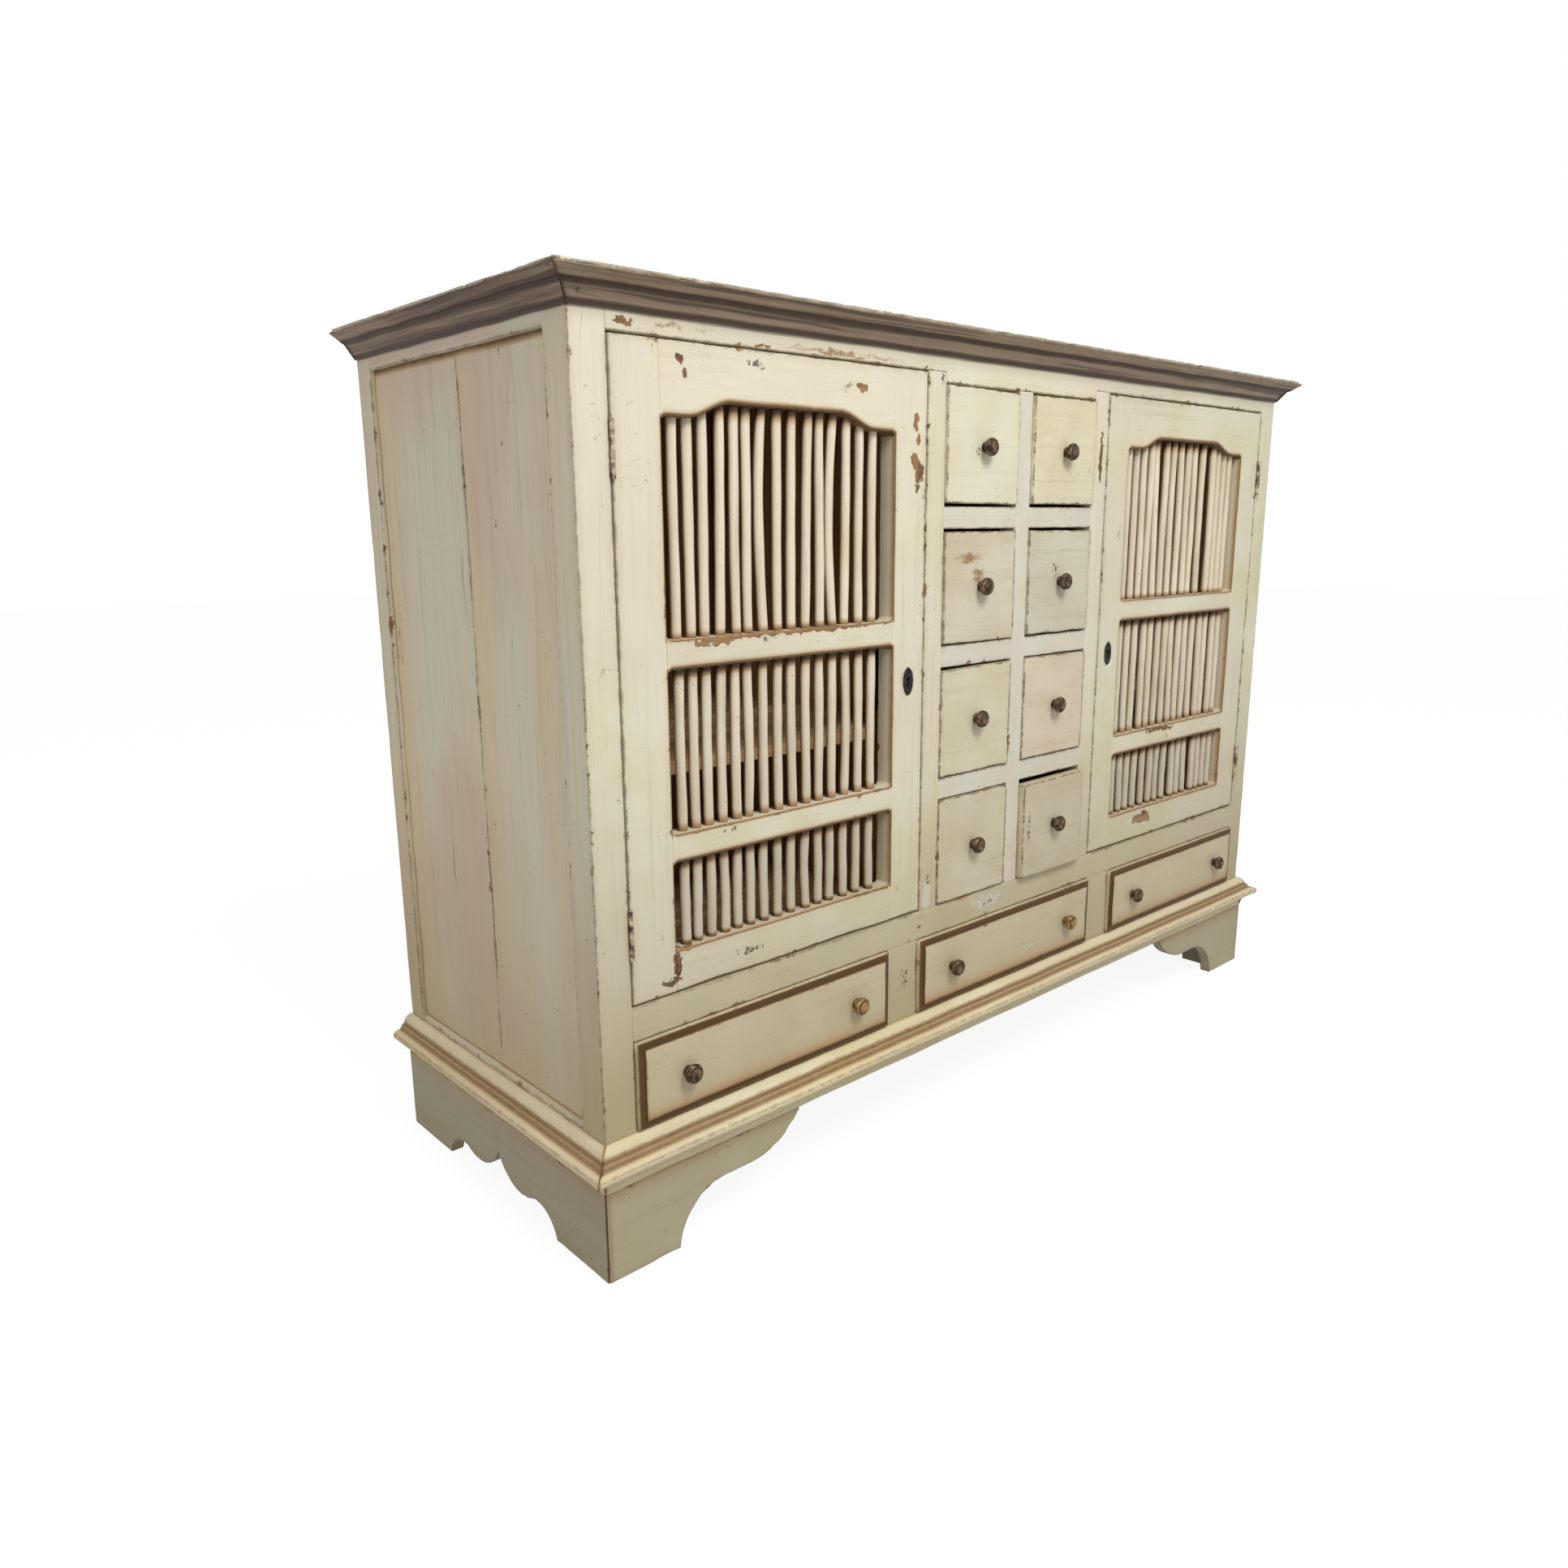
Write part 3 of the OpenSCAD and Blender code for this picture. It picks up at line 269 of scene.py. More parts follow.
def paintMaterial(name, **changes):
    s = {**paintSettings, **changes}
    material, tree = freshMaterial(name)
    place, grain, rim, tone, side = surfaceFields(tree)
    shadow = tuple(np.add(tint(*s["glazeColor"]), tint(*s["warm"])) / 2)

    def coat(color, amount, shade):
        # a colour, given or by its name in the settings, laid over what is there
        return amount.mix(color, tint(*s[shade]) if isinstance(shade, str) else shade)

    mottle, drift = place.noise(9.0, 5, 0.6), place.noise(3.1, 3, 0.5)
    ragged = place.noise(85.0, 5, 0.65)
    blush = place.noise(5.2, 3, 0.55, stretch=(1, 1, 0.45))
    board = grain.noise(1.0, 1, 0.5, stretch=(0.4, 0.4, 0.4))
    bands = grain.noise(1.0, 2, 0.5, stretch=(0.9, 11, 11))
    brush = grain.noise(1.0, 4, 0.65, stretch=(4.0, 90, 90))
    fine = grain.noise(1.0, 3, 0.6, stretch=(14, 420, 420))
    smear = grain.noise(1.0, 4, 0.6, stretch=(2.6, 24, 24))
    color = coat(tint(*s["light"]), mottle.rise(0.38, 0.66), "warm")
    color = coat(color, drift.rise(0.42, 0.62) * 0.6, "pink")
    # painted shade: the case's outer sides take a darker copy of the paint, with its own streaks and blush
    sideColor = coat(tint(*s["sideLight"]), bands.rise(0.4, 0.66), "sideWarm")
    sideColor = coat(sideColor, blush.rise(0.44, 0.64) * 0.7, "sidePink")
    sideColor = coat(sideColor, brush.rise(0.45, 0.85) * 0.16, "sideDark")
    sideColor = coat(sideColor, smear.rise(0.62, 0.74) * 0.55, "sideDark")
    color = side.mix(color, sideColor)
    # painted shade: the lower third is darker and yellower, where the light falls off towards the floor
    dirt = (place.parts()[2] + drift * 0.3).rise(s["dirtTop"], 0.2)
    color = coat(color, dirt * s["dirt"], "dirtColor")
    color = coat(color, brush.rise(0.5, 0.8) * s["streak"], shadow)
    color = coat(color, fine.rise(0.52, 0.8) * s["fine"], shadow)
    color = coat(color, board.rise(0.45, 0.75) * 0.12, shadow)
    if s["band"]:                              # paler and darker streaks along the grain
        streaks = grain.noise(1.0, 3, 0.6, stretch=(2.5, 125, 125))
        color = coat(color, streaks.rise(0.5, 0.64) * s["band"], "bandColor")
        color = coat(color, streaks.rise(0.46, 0.36) * s["band"], "glazeColor")
    bent = place.warped(*s["warp"])
    if s["pales"]:
        color = coat(color, (ragged + bent.patches(s["pales"]) * 0.4).rise(0.68, 0.9) * 0.55, "paleColor")
    if s["smears"]:
        smeared = bent.patches(s["smears"]) * (brush + ragged).rise(0.85, 1.1)
        color = coat(color, smeared * 0.85, "smearColor")
    # brown wax that stays along every free edge, thinner and thicker by turns
    reach = rim + (ragged + -0.5) * 7.0
    color = coat(color, reach.rise(s["glazeWidth"], 0.0) * s["glaze"], "glazeColor")
    color = coat(color, rim.rise(12.0, 1.0) * drift.rise(0.35, 0.65) * 0.22, shadow)
    # the tone lays brown wax, and in places painted shade: under the rails and the cornice's step, at the
    # rods' tops and sides, in the side panel's corner, under the plinth on the feet
    toned = tone * (ragged * 0.5 + 0.72)
    color = coat(color, toned.rise(0.0, 0.5) * 0.8, "waxColor")
    color = coat(color, toned.rise(0.25, 1.0), "glazeColor")
    # chips down to the wood, most of them along the edges and in the known worn patches
    flake = place.noise(42.0, 8, 0.68) + rim.rise(7.0, 0.0) * s["chipEdge"]
    if s["scars"]:
        flake = flake + bent.patches(s["scars"]) * 0.33
    bare = flake.rise(s["chipAt"], s["chipAt"] + 0.012)
    wood = coat(tint(*s["woodLight"]), brush.rise(0.35, 0.65), "woodDark")
    color = coat(color, flake.rise(s["chipAt"] - 0.045, s["chipAt"]) * 0.5, "glazeColor")
    color = bare.mix(color, wood)
    # worm holes and specks of dirt
    where = place.noise(13.0, 2, 0.5).rise(0.54, 0.64)
    speck = place.noise(310.0, 1, 0.4).rise(0.735, 0.765) * where * s["specks"]
    if s["marks"]:
        blots = place.noise(150.0, 5, 0.75, stretch=(1, 1, 0.8)) + bent.patches(s["marks"]) * 0.235
        speck = speck.larger(blots.rise(0.74, 0.79) * 0.85)
    color = coat(color, speck, "speckColor")
    # hairline cracks along the grain
    line = grain.noise(1.0, 2, 0.4, stretch=(1.6, 34, 34)) + -0.5
    crack = line.size().rise(0.0035, 0.0) * place.noise(6.0, 3).rise(0.56, 0.64) * s["cracks"]
    color = coat(color, crack, "speckColor")
    height = fine * 0.18 + brush * 0.3 + mottle * 0.25 + (bare + crack + speck) * -0.45
    return finishedMaterial(material, color, brush * 0.25 + 0.5, height, 0.0007)


def woodMaterial(name, light, dark):
    # bare or stained boards: long grain bands, fine pores and some dirt
    material, tree = freshMaterial(name)
    place, grain, rim = surfaceFields(tree)[:3]
    bands = grain.noise(1.0, 4, 0.6, stretch=(1.6, 38, 38))
    pores = grain.noise(1.0, 3, 0.6, stretch=(16, 500, 500))
    color = bands.rise(0.36, 0.66).mix(tint(*light), tint(*dark))
    color = (pores.rise(0.5, 0.8) * 0.5).mix(color, tint(*dark))
    color = (place.noise(6.0, 4, 0.6).rise(0.45, 0.7) * 0.35).mix(color, tint(*[c * 0.55 for c in dark]))
    color = (rim.rise(2.0, 0.0) * 0.3).mix(color, tint(*[c * 0.6 for c in dark]))
    return finishedMaterial(material, color, 0.72, bands * 0.4 + pores * 0.5, 0.0005)


def metalMaterial(name, bright, patina, share, roughness, metallic, scale=150.0):
    # old metal: bright where it is touched, patina in the hollows and in clouds
    material, tree = freshMaterial(name)
    fields = surfaceFields(tree)
    place, tone = fields[0], fields[3]
    clouds, pits = place.noise(scale, 5, 0.65), place.noise(900.0, 3, 0.6)
    dull = clouds.rise(share - 0.1, share + 0.12).larger(tone)
    color = dull.mix(tint(*bright), tint(*patina))
    height = clouds * 0.6 + pits * 0.4
    return finishedMaterial(material, color, dull * 0.25 + roughness, height, 0.0003, metallic)


frontWear = {"scars": frontScars, "marks": frontMarks, "pales": frontPales,
             "smears": ((-350, 1033, 120, 4), (-590, 1038, 60, 4))}
creamPaint = paintMaterial("creamPaint", **frontWear)
framePaint = paintMaterial("framePaint", dirt=0.95, dirtTop=0.8, **frontWear)
ladderPaint = paintMaterial("ladderPaint", light=(228, 223, 207), warm=(224, 215, 194), pink=(227, 214, 203),
                            scars=frontScars, marks=frontMarks, chipEdge=0.1, streak=0.16, dirt=0.2)
# light and warm colours of the small fronts, by rows from the top left
drawerTints = (((234, 229, 203), (227, 219, 189)), ((233, 225, 194), (226, 213, 176)),
               ((224, 216, 192), (212, 199, 168)), ((220, 214, 192), (212, 201, 176)),
               ((228, 220, 192), (220, 208, 174)), ((228, 214, 190), (218, 199, 170)),
               ((222, 214, 188), (214, 202, 172)), ((218, 209, 182), (209, 196, 166)))
drawerMarks = ((-103, 936, 16, 15), (14, 908, 5, 8), (80, 772, 13, 18), (30, 395, 6, 40), (122, 346, 14, 6))
drawerPaints = [paintMaterial(f"drawerPaint{k + 1}", light=light, warm=warm, pink=[c - 4 for c in light],
                              dirt=0.3, cracks=0.3, chipAt=0.735, glaze=0.85, glazeWidth=2.4,
                              marks=drawerMarks, streak=0.34,
                              smears=((-120, 794, 34, 9), (-97, 774, 17, 15)) if k == 2 else ())
                for k, (light, warm) in enumerate(drawerTints)]
longPaint = paintMaterial("longPaint", light=(238, 230, 201), warm=(229, 217, 183), pink=(234, 219, 194),
                          dirt=0.7, cracks=0.3, chipAt=0.735, glaze=0.6, glazeWidth=2.0, specks=1.0,
                          glazeColor=(82, 56, 16))
rodPaint = paintMaterial("rodPaint", light=(240, 231, 206), warm=(230, 216, 186), pink=(237, 222, 202),
                         glazeColor=(72, 51, 30), dirtColor=(176, 169, 152), dirt=1.0, dirtTop=0.9,
                         streak=0.6, fine=0.4, cracks=0.0, chipAt=0.72, chipEdge=0.0, specks=0.9)
# the feet's paint is greyer and darker than the body's: painted shade under the plinth's overhang, and some
# dirt
footPaint = paintMaterial("footPaint", light=(196, 191, 164), warm=(188, 179, 146), pink=(186, 176, 152),
                          sideLight=(166, 159, 140), sideWarm=(160, 148, 123), sidePink=(153, 140, 126),
                          sideDark=(120, 110, 97), dirt=0.35, streak=0.15, fine=0.15, chipAt=0.7, specks=2.0)
plinthPaint = paintMaterial("plinthPaint", light=(238, 229, 195), warm=(230, 214, 168), pink=(232, 217, 184),
                            sideLight=(228, 215, 182), sideWarm=(222, 200, 156), sidePink=(220, 200, 168),
                            sideDark=(186, 166, 130), waxColor=(172, 136, 82), dirt=0.0, glaze=0.45,
                            cracks=0.2, chipAt=0.74, chipEdge=0.06)
cornicePaint = paintMaterial("cornicePaint", light=(176, 158, 134), warm=(160, 139, 115),
                             pink=(168, 141, 122), sideLight=(128, 108, 92), sideWarm=(120, 98, 80),
                             sidePink=(118, 92, 82), sideDark=(80, 62, 50), bandColor=(190, 168, 142),
                             glazeColor=(58, 42, 30), woodLight=(206, 196, 170), woodDark=(150, 138, 118),
                             waxColor=(84, 66, 52), streak=0.6, fine=0.5, glaze=0.5, chipAt=0.73,
                             chipEdge=0.04, cracks=1.0, band=0.7, dirt=0.0)
topPaint = paintMaterial("topPaint", light=(204, 194, 168), warm=(190, 177, 148), pink=(196, 180, 158),
                         sideLight=(120, 108, 94), sideWarm=(104, 92, 78), sidePink=(100, 86, 78),
                         sideDark=(60, 50, 44), glazeColor=(84, 70, 54), woodLight=(230, 222, 192),
                         woodDark=(206, 194, 164), streak=0.6, fine=0.4, glaze=0.2, chipAt=0.68,
                         chipEdge=0.1, cracks=1.0)
innerWood = woodMaterial("innerWood", (214, 178, 132), (172, 134, 92))
backWood = woodMaterial("backWood", (196, 158, 112), (150, 114, 76))
boxWood = woodMaterial("boxWood", (190, 156, 114), (150, 114, 76))
agedBrass = metalMaterial("agedBrass", (126, 102, 72), (50, 39, 28), 0.48, 0.45, 0.5)
rubbedBrass = metalMaterial("rubbedBrass", (164, 132, 80), (84, 62, 36), 0.55, 0.38, 0.6)
blackIron = metalMaterial("blackIron", (34, 30, 26), (16, 14, 12), 0.5, 0.55, 0.4)
hingePaint = metalMaterial("hingePaint", (212, 194, 164), (66, 44, 28), 0.485, 0.55, 0.0, scale=60.0)
print("materials ready")

# Boards and surfaces, worked out in millimetres until the mesh is made

# half the body's width, its front and back, and the height where the top begins
bodySize = {"side": 725.0, "front": -230.0, "back": 262.0, "top": 1061.0}
noEdge = 15.0          # a gap from an edge past which the edge leaves no wear
sameBox = 0.02         # corners closer than this are one corner
anyPhase = (0, 6.28)   # range of the random phases of waves


def solidsOf(node):
    # lowest and highest corners of each solid of a CAD node, and its points: triangles that share a corner
    # get the smallest label among them until nothing changes
    mesh = frame["nodes"][node].data
    points = np.empty(len(mesh.vertices) * 3)
    mesh.vertices.foreach_get("co", points)
    corners = np.empty(len(mesh.loops), int)
    mesh.loops.foreach_get("vertex_index", corners)
    merged, index = np.unique(np.round(points.reshape(-1, 3) * 1e5).astype(int), axis=0, return_inverse=True)
    triangles = index.ravel()[corners].reshape(-1, 3)
    label = np.arange(len(merged))
    while True:
        lowest = label[triangles].min(1)
        after = label.copy()
        for k in range(3):
            np.minimum.at(after, triangles[:, k], lowest)
        after = after[after]
        if (after == label).all():
            break
        label = after
    groups = [merged[label == k] / 100 for k in np.unique(label)]
    return [(g.min(0), g.max(0), g) for g in groups]


def boxesOf(*nodes):
    return [(low, high) for node in nodes for low, high, _ in solidsOf(node)]


def wavesAt(points, seed, lengths, amount):
    # smooth random offsets: a sum of sine waves with random directions, lengths and phases
    random = np.random.default_rng(seed)
    total = np.zeros(points.shape)
    for length in lengths:
        heading = random.normal(size=3)
        heading *= 2 * np.pi / length / np.linalg.norm(heading)
        total += random.normal(size=3) * np.sin(points @ heading + random.uniform(*anyPhase))[..., None]
    return total * amount / math.sqrt(len(lengths))


def dentsAt(points, seed, lengths, least, gap):
    # small hollows that fade with the gap from an edge
    return np.clip(wavesAt(points, seed, lengths, 1.0)[..., 0] - least, 0, 1.5) * np.exp(-gap)


def joined(*parts):
    # arrays and numbers brought to one shape and put side by side along a last axis
    return np.stack(np.broadcast_arrays(*parts), -1)


def newPile():
    return {"points": [], "faces": [], "grain": [], "wear": [], "materials": [], "count": 0, "boards": 0}


def addSurface(pile, points, grain, wear, material=0, ends=True):
    # a grid of points as quads: rows run along the piece, columns round it; ends closed with fans
    rows, cols = points.shape[:2]
    r = np.arange(rows - 1)[:, None]
    c = np.arange(cols)[None, :]
    following = (c + 1) % cols
    quads = joined(r * cols + c, r * cols + following, (r + 1) * cols + following, (r + 1) * cols + c)
    faces = (quads.reshape(-1, 4) + pile["count"]).tolist()
    flat = [points.reshape(-1, 3)]
    flatGrain, flatWear = [grain.reshape(-1, 3)], [wear.reshape(-1, 3)]
    if ends:
        base = pile["count"] + rows * cols
        for k, row in enumerate((0, rows - 1)):
            flat.append(points[row].mean(0)[None])
            flatGrain.append(grain[row].mean(0)[None])
            flatWear.append(wear[row].mean(0)[None] + np.array([[4.0, 0, 0]]))
            ring = pile["count"] + row * cols + np.arange(cols)
            faces += joined(base + k, ring, np.roll(ring, -1)).tolist()
    pile["points"] += flat
    pile["grain"] += flatGrain
    pile["wear"] += flatWear
    pile["faces"] += faces
    pile["materials"].append(np.full(len(faces), material))
    pile["count"] += sum(len(f) for f in flat)


def cleanMesh(mesh, merge=0.0):
    # normals that face out; points closer together than merge, in mm, become one
    work = bmesh.new()
    work.from_mesh(mesh)
    if merge:
        bmesh.ops.remove_doubles(work, verts=work.verts, dist=merge / 1000)
    bmesh.ops.recalc_face_normals(work, faces=work.faces)
    work.to_mesh(mesh)
    work.free()


def makePiece(pile, node, *materials, merge=0.0):
    mesh = bpy.data.meshes.new(node + "_look")
    mesh.from_pydata((np.concatenate(pile["points"]) / 1000).tolist(), [], pile["faces"])
    for key in ("grain", "wear"):
        layer = mesh.attributes.new(key, "FLOAT_VECTOR", "POINT")
        layer.data.foreach_set("vector", np.concatenate(pile[key]).ravel().astype(np.float32))
    for material in materials:
        mesh.materials.append(material)
    mesh.polygons.foreach_set("material_index", np.concatenate(pile["materials"]))
    cleanMesh(mesh, merge)
    mesh.shade_smooth()
    piece = addObject(node + "_look", mesh)
    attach(piece, bodyOfNode[node])
    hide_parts(node)
    return piece


# near holds the places of the first rows from an end; waves and dents hold lengths of waves in mm
boardSettings = {"near": (2.6, 4.5, 9.0, 15.0), "radius": 1.1, "step": 14.0, "ripple": 0.22, "nibble": 0.7,
                 "waves": (260, 170, 110, 70), "dents": (31, 22, 17, 12, 9), "sideMarks": ()}


def spread(size, radius, step, extra=()):
    # places along one side from radius to size - radius: close together at both ends, then about a step apart
    close = [radius] + [d for d in boardSettings["near"] if radius + 1 < d < size / 2 - 1]
    middle = size - 2 * close[-1]
    count = max(int(middle / step), 1)
    between = close[-1] + middle * np.arange(1, count) / count
    places = np.concatenate([close, between, size - np.array(close[::-1])])
    wanted = [e for e in extra if radius < e < size - radius]
    return np.unique(np.concatenate([places, wanted]).round(3))


def roundedSection(sizeA, sizeB, radius, step, marksA=(), marksB=()):
    # a rectangle with round corners, as shares of its two sizes
    a, b = spread(sizeA, radius, step, marksA), spread(sizeB, radius, step, marksB)
    turn = np.radians([30, 60])
    s, c = radius * np.sin(turn), radius * np.cos(turn)
    ringA = [a, sizeA - radius + s, np.full(len(b), sizeA), sizeA - radius + c,
             a[::-1], radius - s, np.zeros(len(b)), radius - c]
    ringB = [np.zeros(len(a)), radius - c, b, sizeB - radius + s,
             np.full(len(a), sizeB), sizeB - radius + c, b[::-1], radius - s]
    return np.concatenate(ringA) / sizeA, np.concatenate(ringB) / sizeB


def freeGap(points, low, high, others):
    # distance to the nearest free edge: of the three distances to the board's faces, the middle one, where a
    # face that another board joins counts as far away
    far = 60.0
    gaps = []
    for k in range(3):
        both = []
        for bound, way in ((low, -1), (high, 1)):
            gap = np.abs(points[..., k] - bound[k])
            probe = points.copy()
            probe[..., k] = bound[k] + way * 1.5
            covered = np.zeros(gap.shape, bool)
            for otherLow, otherHigh in others:
                covered |= ((probe > otherLow - 0.4) & (probe < otherHigh + 0.4)).all(-1)
            both.append(np.where(covered, far, gap))
        gaps.append(np.minimum(*both))
    return np.clip(np.sort(np.stack(gaps), 0)[1], 0, noEdge)


def addBoard(pile, low, high, along=None, lower=None, upper=None, extra=(), others=(),
             material=0, mitre=None, toneAt=None, **changes):
    # a round-edged section carried along the grain, which runs along one axis; the section has the other two,
    # and lower and upper give its edges in the last one at each place along the grain
    s = {**boardSettings, **changes}
    low, high = np.array(low, float), np.array(high, float)
    size = high - low
    pile["boards"] += 1
    seed = pile["boards"] * 17 + int(abs(low).sum() * 3) % 9973
    run = int(np.argmax(size)) if along is None else along
    a, b = [k for k in range(3) if k != run]
    radius = min(s["radius"], size.min() * 0.3)
    sideMarks = np.array(s["sideMarks"])
    shareA, shareB = roundedSection(size[a], size[b], radius, s["step"], *(
        (sideMarks - low[k] if size[k] == max(size[a], size[b]) else ()) for k in (a, b)))
    turn = np.radians([0, 30, 60])
    endInset, endPlace = radius * (1 - np.sin(turn)), radius * (1 - np.cos(turn))
    inner = spread(size[run], radius, s["step"], np.array(extra) - low[run])
    place = low[run] + np.concatenate([endPlace, inner, size[run] - endPlace[::-1]])
    inset = np.concatenate([endInset, np.zeros(len(inner)), endInset[::-1]])[:, None]
    lowB = (np.full(len(place), low[b]) if lower is None else lower(place))[:, None]
    highB = (np.full(len(place), high[b]) if upper is None else upper(place))[:, None]
    points = np.empty((len(place), len(shareA), 3))
    points[..., run] = place[:, None]
    points[..., a] = low[a] + inset + shareA * (size[a] - 2 * inset)
    points[..., b] = lowB + inset + shareB * (highB - lowB - 2 * inset)
    level = points.copy()                      # as if both shaped edges ran straight
    level[..., b] = np.where(points[..., b] - lowB < highB - points[..., b],
                             low[b] + (points[..., b] - lowB), high[b] - (highB - points[..., b]))
    rim = freeGap(level, low, high, others)
    if lower or upper:
        rim = np.minimum(rim, np.maximum(np.minimum(points[..., b] - lowB if lower else 99.0,
                                                    highB - points[..., b] if upper else 99.0),
                                         np.minimum(points[..., a] - low[a], high[a] - points[..., a])))
    tone = toneAt(points, points[..., b] - lowB, highB - points[..., b]) if toneAt else 0.0
    random = np.random.default_rng(seed)
    grain = points[..., [run, a, b]] / 1000 + random.uniform(0, 20, 3)
    # 1 on the case's outer sides, which take the darker side colours: painted shade
    onSide = np.clip((np.abs(points[..., 0]) - bodySize["side"] + 0.6) / 0.5, 0, 1)
    onSide *= (np.abs(points[..., 1]) < bodySize["back"]) & (points[..., 2] < bodySize["top"])
    wear = joined(rim, tone, onSide)
    if mitre is not None:                      # the first end of the run is cut at 45 degrees
        near = np.clip(1 - (points[..., run] - low[run]) / 60, 0, 1)
        points[..., run] += (points[..., a] - mitre) * near * (1 if mitre <= low[a] + 0.01 else -1)
    points += wavesAt(points, seed, s["waves"], s["ripple"])
    dents = dentsAt(points, seed + 5, s["dents"], 0.35, rim / 1.2)
    for k, middle in ((a, (low[a] + high[a]) / 2), (b, (lowB + highB) / 2)):
        points[..., k] -= dents * s["nibble"] * np.sign(points[..., k] - middle)
    addSurface(pile, points, grain, wear, material)


def lastGrid(pile, key):
    # the last board's grid, which stands before its two end points
    return pile[key][-3]


def besides(boxes, low, high):
    # all the boxes but the one with these corners
    return [o for o in boxes if max(abs(o[0] - low).max(), abs(o[1] - high).max()) > sameBox]


def boardsPiece(node, material, others=(), **changes):
    pile = newPile()
    for low, high in boxesOf(node):
        addBoard(pile, low, high, others=besides(others, low, high), **changes)
    makePiece(pile, node, material)


# Case

caseNodes = ("front_posts", "back_posts", "side_rails", "waist_rail", "base_rail", "centre_posts",
             "lower_muntins", "spice_frame")
topRailLow, topRailHigh = boxesOf("top_rail")[0]
spiceHead = {"drop": 12.0, "half": 168.5}
topRailBoxes = [(topRailLow + (0, 0, spiceHead["drop"]), topRailHigh),
                (np.array([-spiceHead["half"], *topRailLow[1:]]),
                 np.array([spiceHead["half"], *topRailHigh[1:]]))]
boardBoxes = boxesOf(*caseNodes)
caseBoxes = boardBoxes + topRailBoxes
for node in ("front_posts", "back_posts", "waist_rail", "base_rail", "centre_posts", "lower_muntins"):
    boardsPiece(node, framePaint, caseBoxes, ripple=0.08 if "rail" in node else 0.22)
boardsPiece("spice_frame", ladderPaint, caseBoxes, ripple=0.06)


def topRailLower(x):
    return np.where(np.abs(x) < spiceHead["half"], topRailLow[2], topRailLow[2] + spiceHead["drop"])


pile = newPile()
addBoard(pile, topRailLow, topRailHigh, lower=topRailLower, others=boardBoxes,
         extra=[w * (spiceHead["half"] + d) for w in (-1, 1) for d in (-0.1, 0.1)])
makePiece(pile, "top_rail", creamPaint)

sideRailBevel = {"bevel": 7.0, "above": 200.0}
pile = newPile()
for low, high in boxesOf("side_rails"):
    addBoard(pile, low, high, others=besides(caseBoxes, low, high))
    if high[2] < sideRailBevel["above"]:       # the lower rail has a sloping upper edge on its outer face
        grid = lastGrid(pile, "points")
        outer = np.abs(grid[:, 0]) - min(abs(low[0]), abs(high[0]))
        depth = max(abs(low[0]), abs(high[0])) - np.abs(grid[:, 0])
        room = high[2] - sideRailBevel["bevel"] + depth
        grid[:, 2] = np.where(outer > 8, np.minimum(grid[:, 2], room), grid[:, 2])
makePiece(pile, "side_rails", creamPaint)

panelSettings = {"width": 3.2, "tone": 0.7, "top": 8.0, "topTone": 0.9}
sideRailBoxes = sorted(boxesOf("side_rails"), key=lambda o: o[0][2])
panelFront, panelBack = sideRailBoxes[0][0][1], sideRailBoxes[0][1][1]
panelLow, panelHigh = sideRailBoxes[0][1][2], sideRailBoxes[-1][0][2]


def panelTone(points, fromLow, fromHigh):
    # painted shade with brown wax in the corner where the sunk panel meets its frame, darkest under the top
    # rail
    s = panelSettings
    y, z = points[..., 1], points[..., 2]
    gap = np.abs(np.stack([y - panelFront, panelBack - y, z - panelLow, panelHigh - z])).min(0)
    tone = s["tone"] * np.clip(1.1 - gap / s["width"], 0, 1)
    return np.maximum(tone, s["topTone"] * np.clip(1.3 - np.abs(panelHigh - z) / s["top"], 0, 1))


pile = newPile()
for low, high in boxesOf("side_boards"):
    marks = [z + d for z in (panelLow, panelHigh) for d in (-10, -7, -4, -2, 0, 2, 4)]
    addBoard(pile, low, high, radius=0.8, ripple=0.5, toneAt=panelTone, extra=marks,
             sideMarks=[y + d for y in (panelFront, panelBack) for d in (-4, -2, 0, 2, 4)])
    wear = lastGrid(pile, "wear")
    # the whole panel takes the darker side colours: painted shade
    wear[:, 2] = 1.0
    wear[:, 0] = np.minimum(wear[:, 0] + 0.4, noEdge)
makePiece(pile, "side_boards", creamPaint)

for node in ("partitions", "cupboard_shelves", "cupboard_floor"):
    boardsPiece(node, innerWood)
for node in ("back_boards", "back_rails"):
    boardsPiece(node, backWood)
for node in ("dust_boards", "drawer_runners"):
    boardsPiece(node, boxWood, step=40.0, ripple=0.05)
boardsPiece("foot_blocks", footPaint, step=40.0)
print("case ready")

# Cornice, top and plinth

# the cornice's tone in its hollows is painted shade; the plinth's is brown wax
corniceSettings = {"low": 1045.5, "out": 32.0, "high": 30.5, "band": 10.0, "edge": 1.5, "bandIn": 12.0,
                   "step": 2.5, "hollow": 1.8, "fillet": 3.0, "deepReach": 4.0, "deepTone": 0.9,
                   "nibble": 1.0}
plinthSettings = {"low": 113.0, "out": 30.0, "high": 55.0, "nose": 6.5, "bead": 13.0, "cove": 7.0,
                  "foot": 8.0, "deepReach": 4.4, "deepTone": 0.75, "nibble": 0.4}


def arc(x, y, radius, start, end, count):
    turn = np.radians(np.linspace(start, end, count))
    return joined(x + radius * np.cos(turn), y + radius * np.sin(turn))


def straight(start, end, step=3.5):
    count = max(int(np.hypot(end[0] - start[0], end[1] - start[1]) / step), 1) + 1
    return np.linspace(start, end, count)


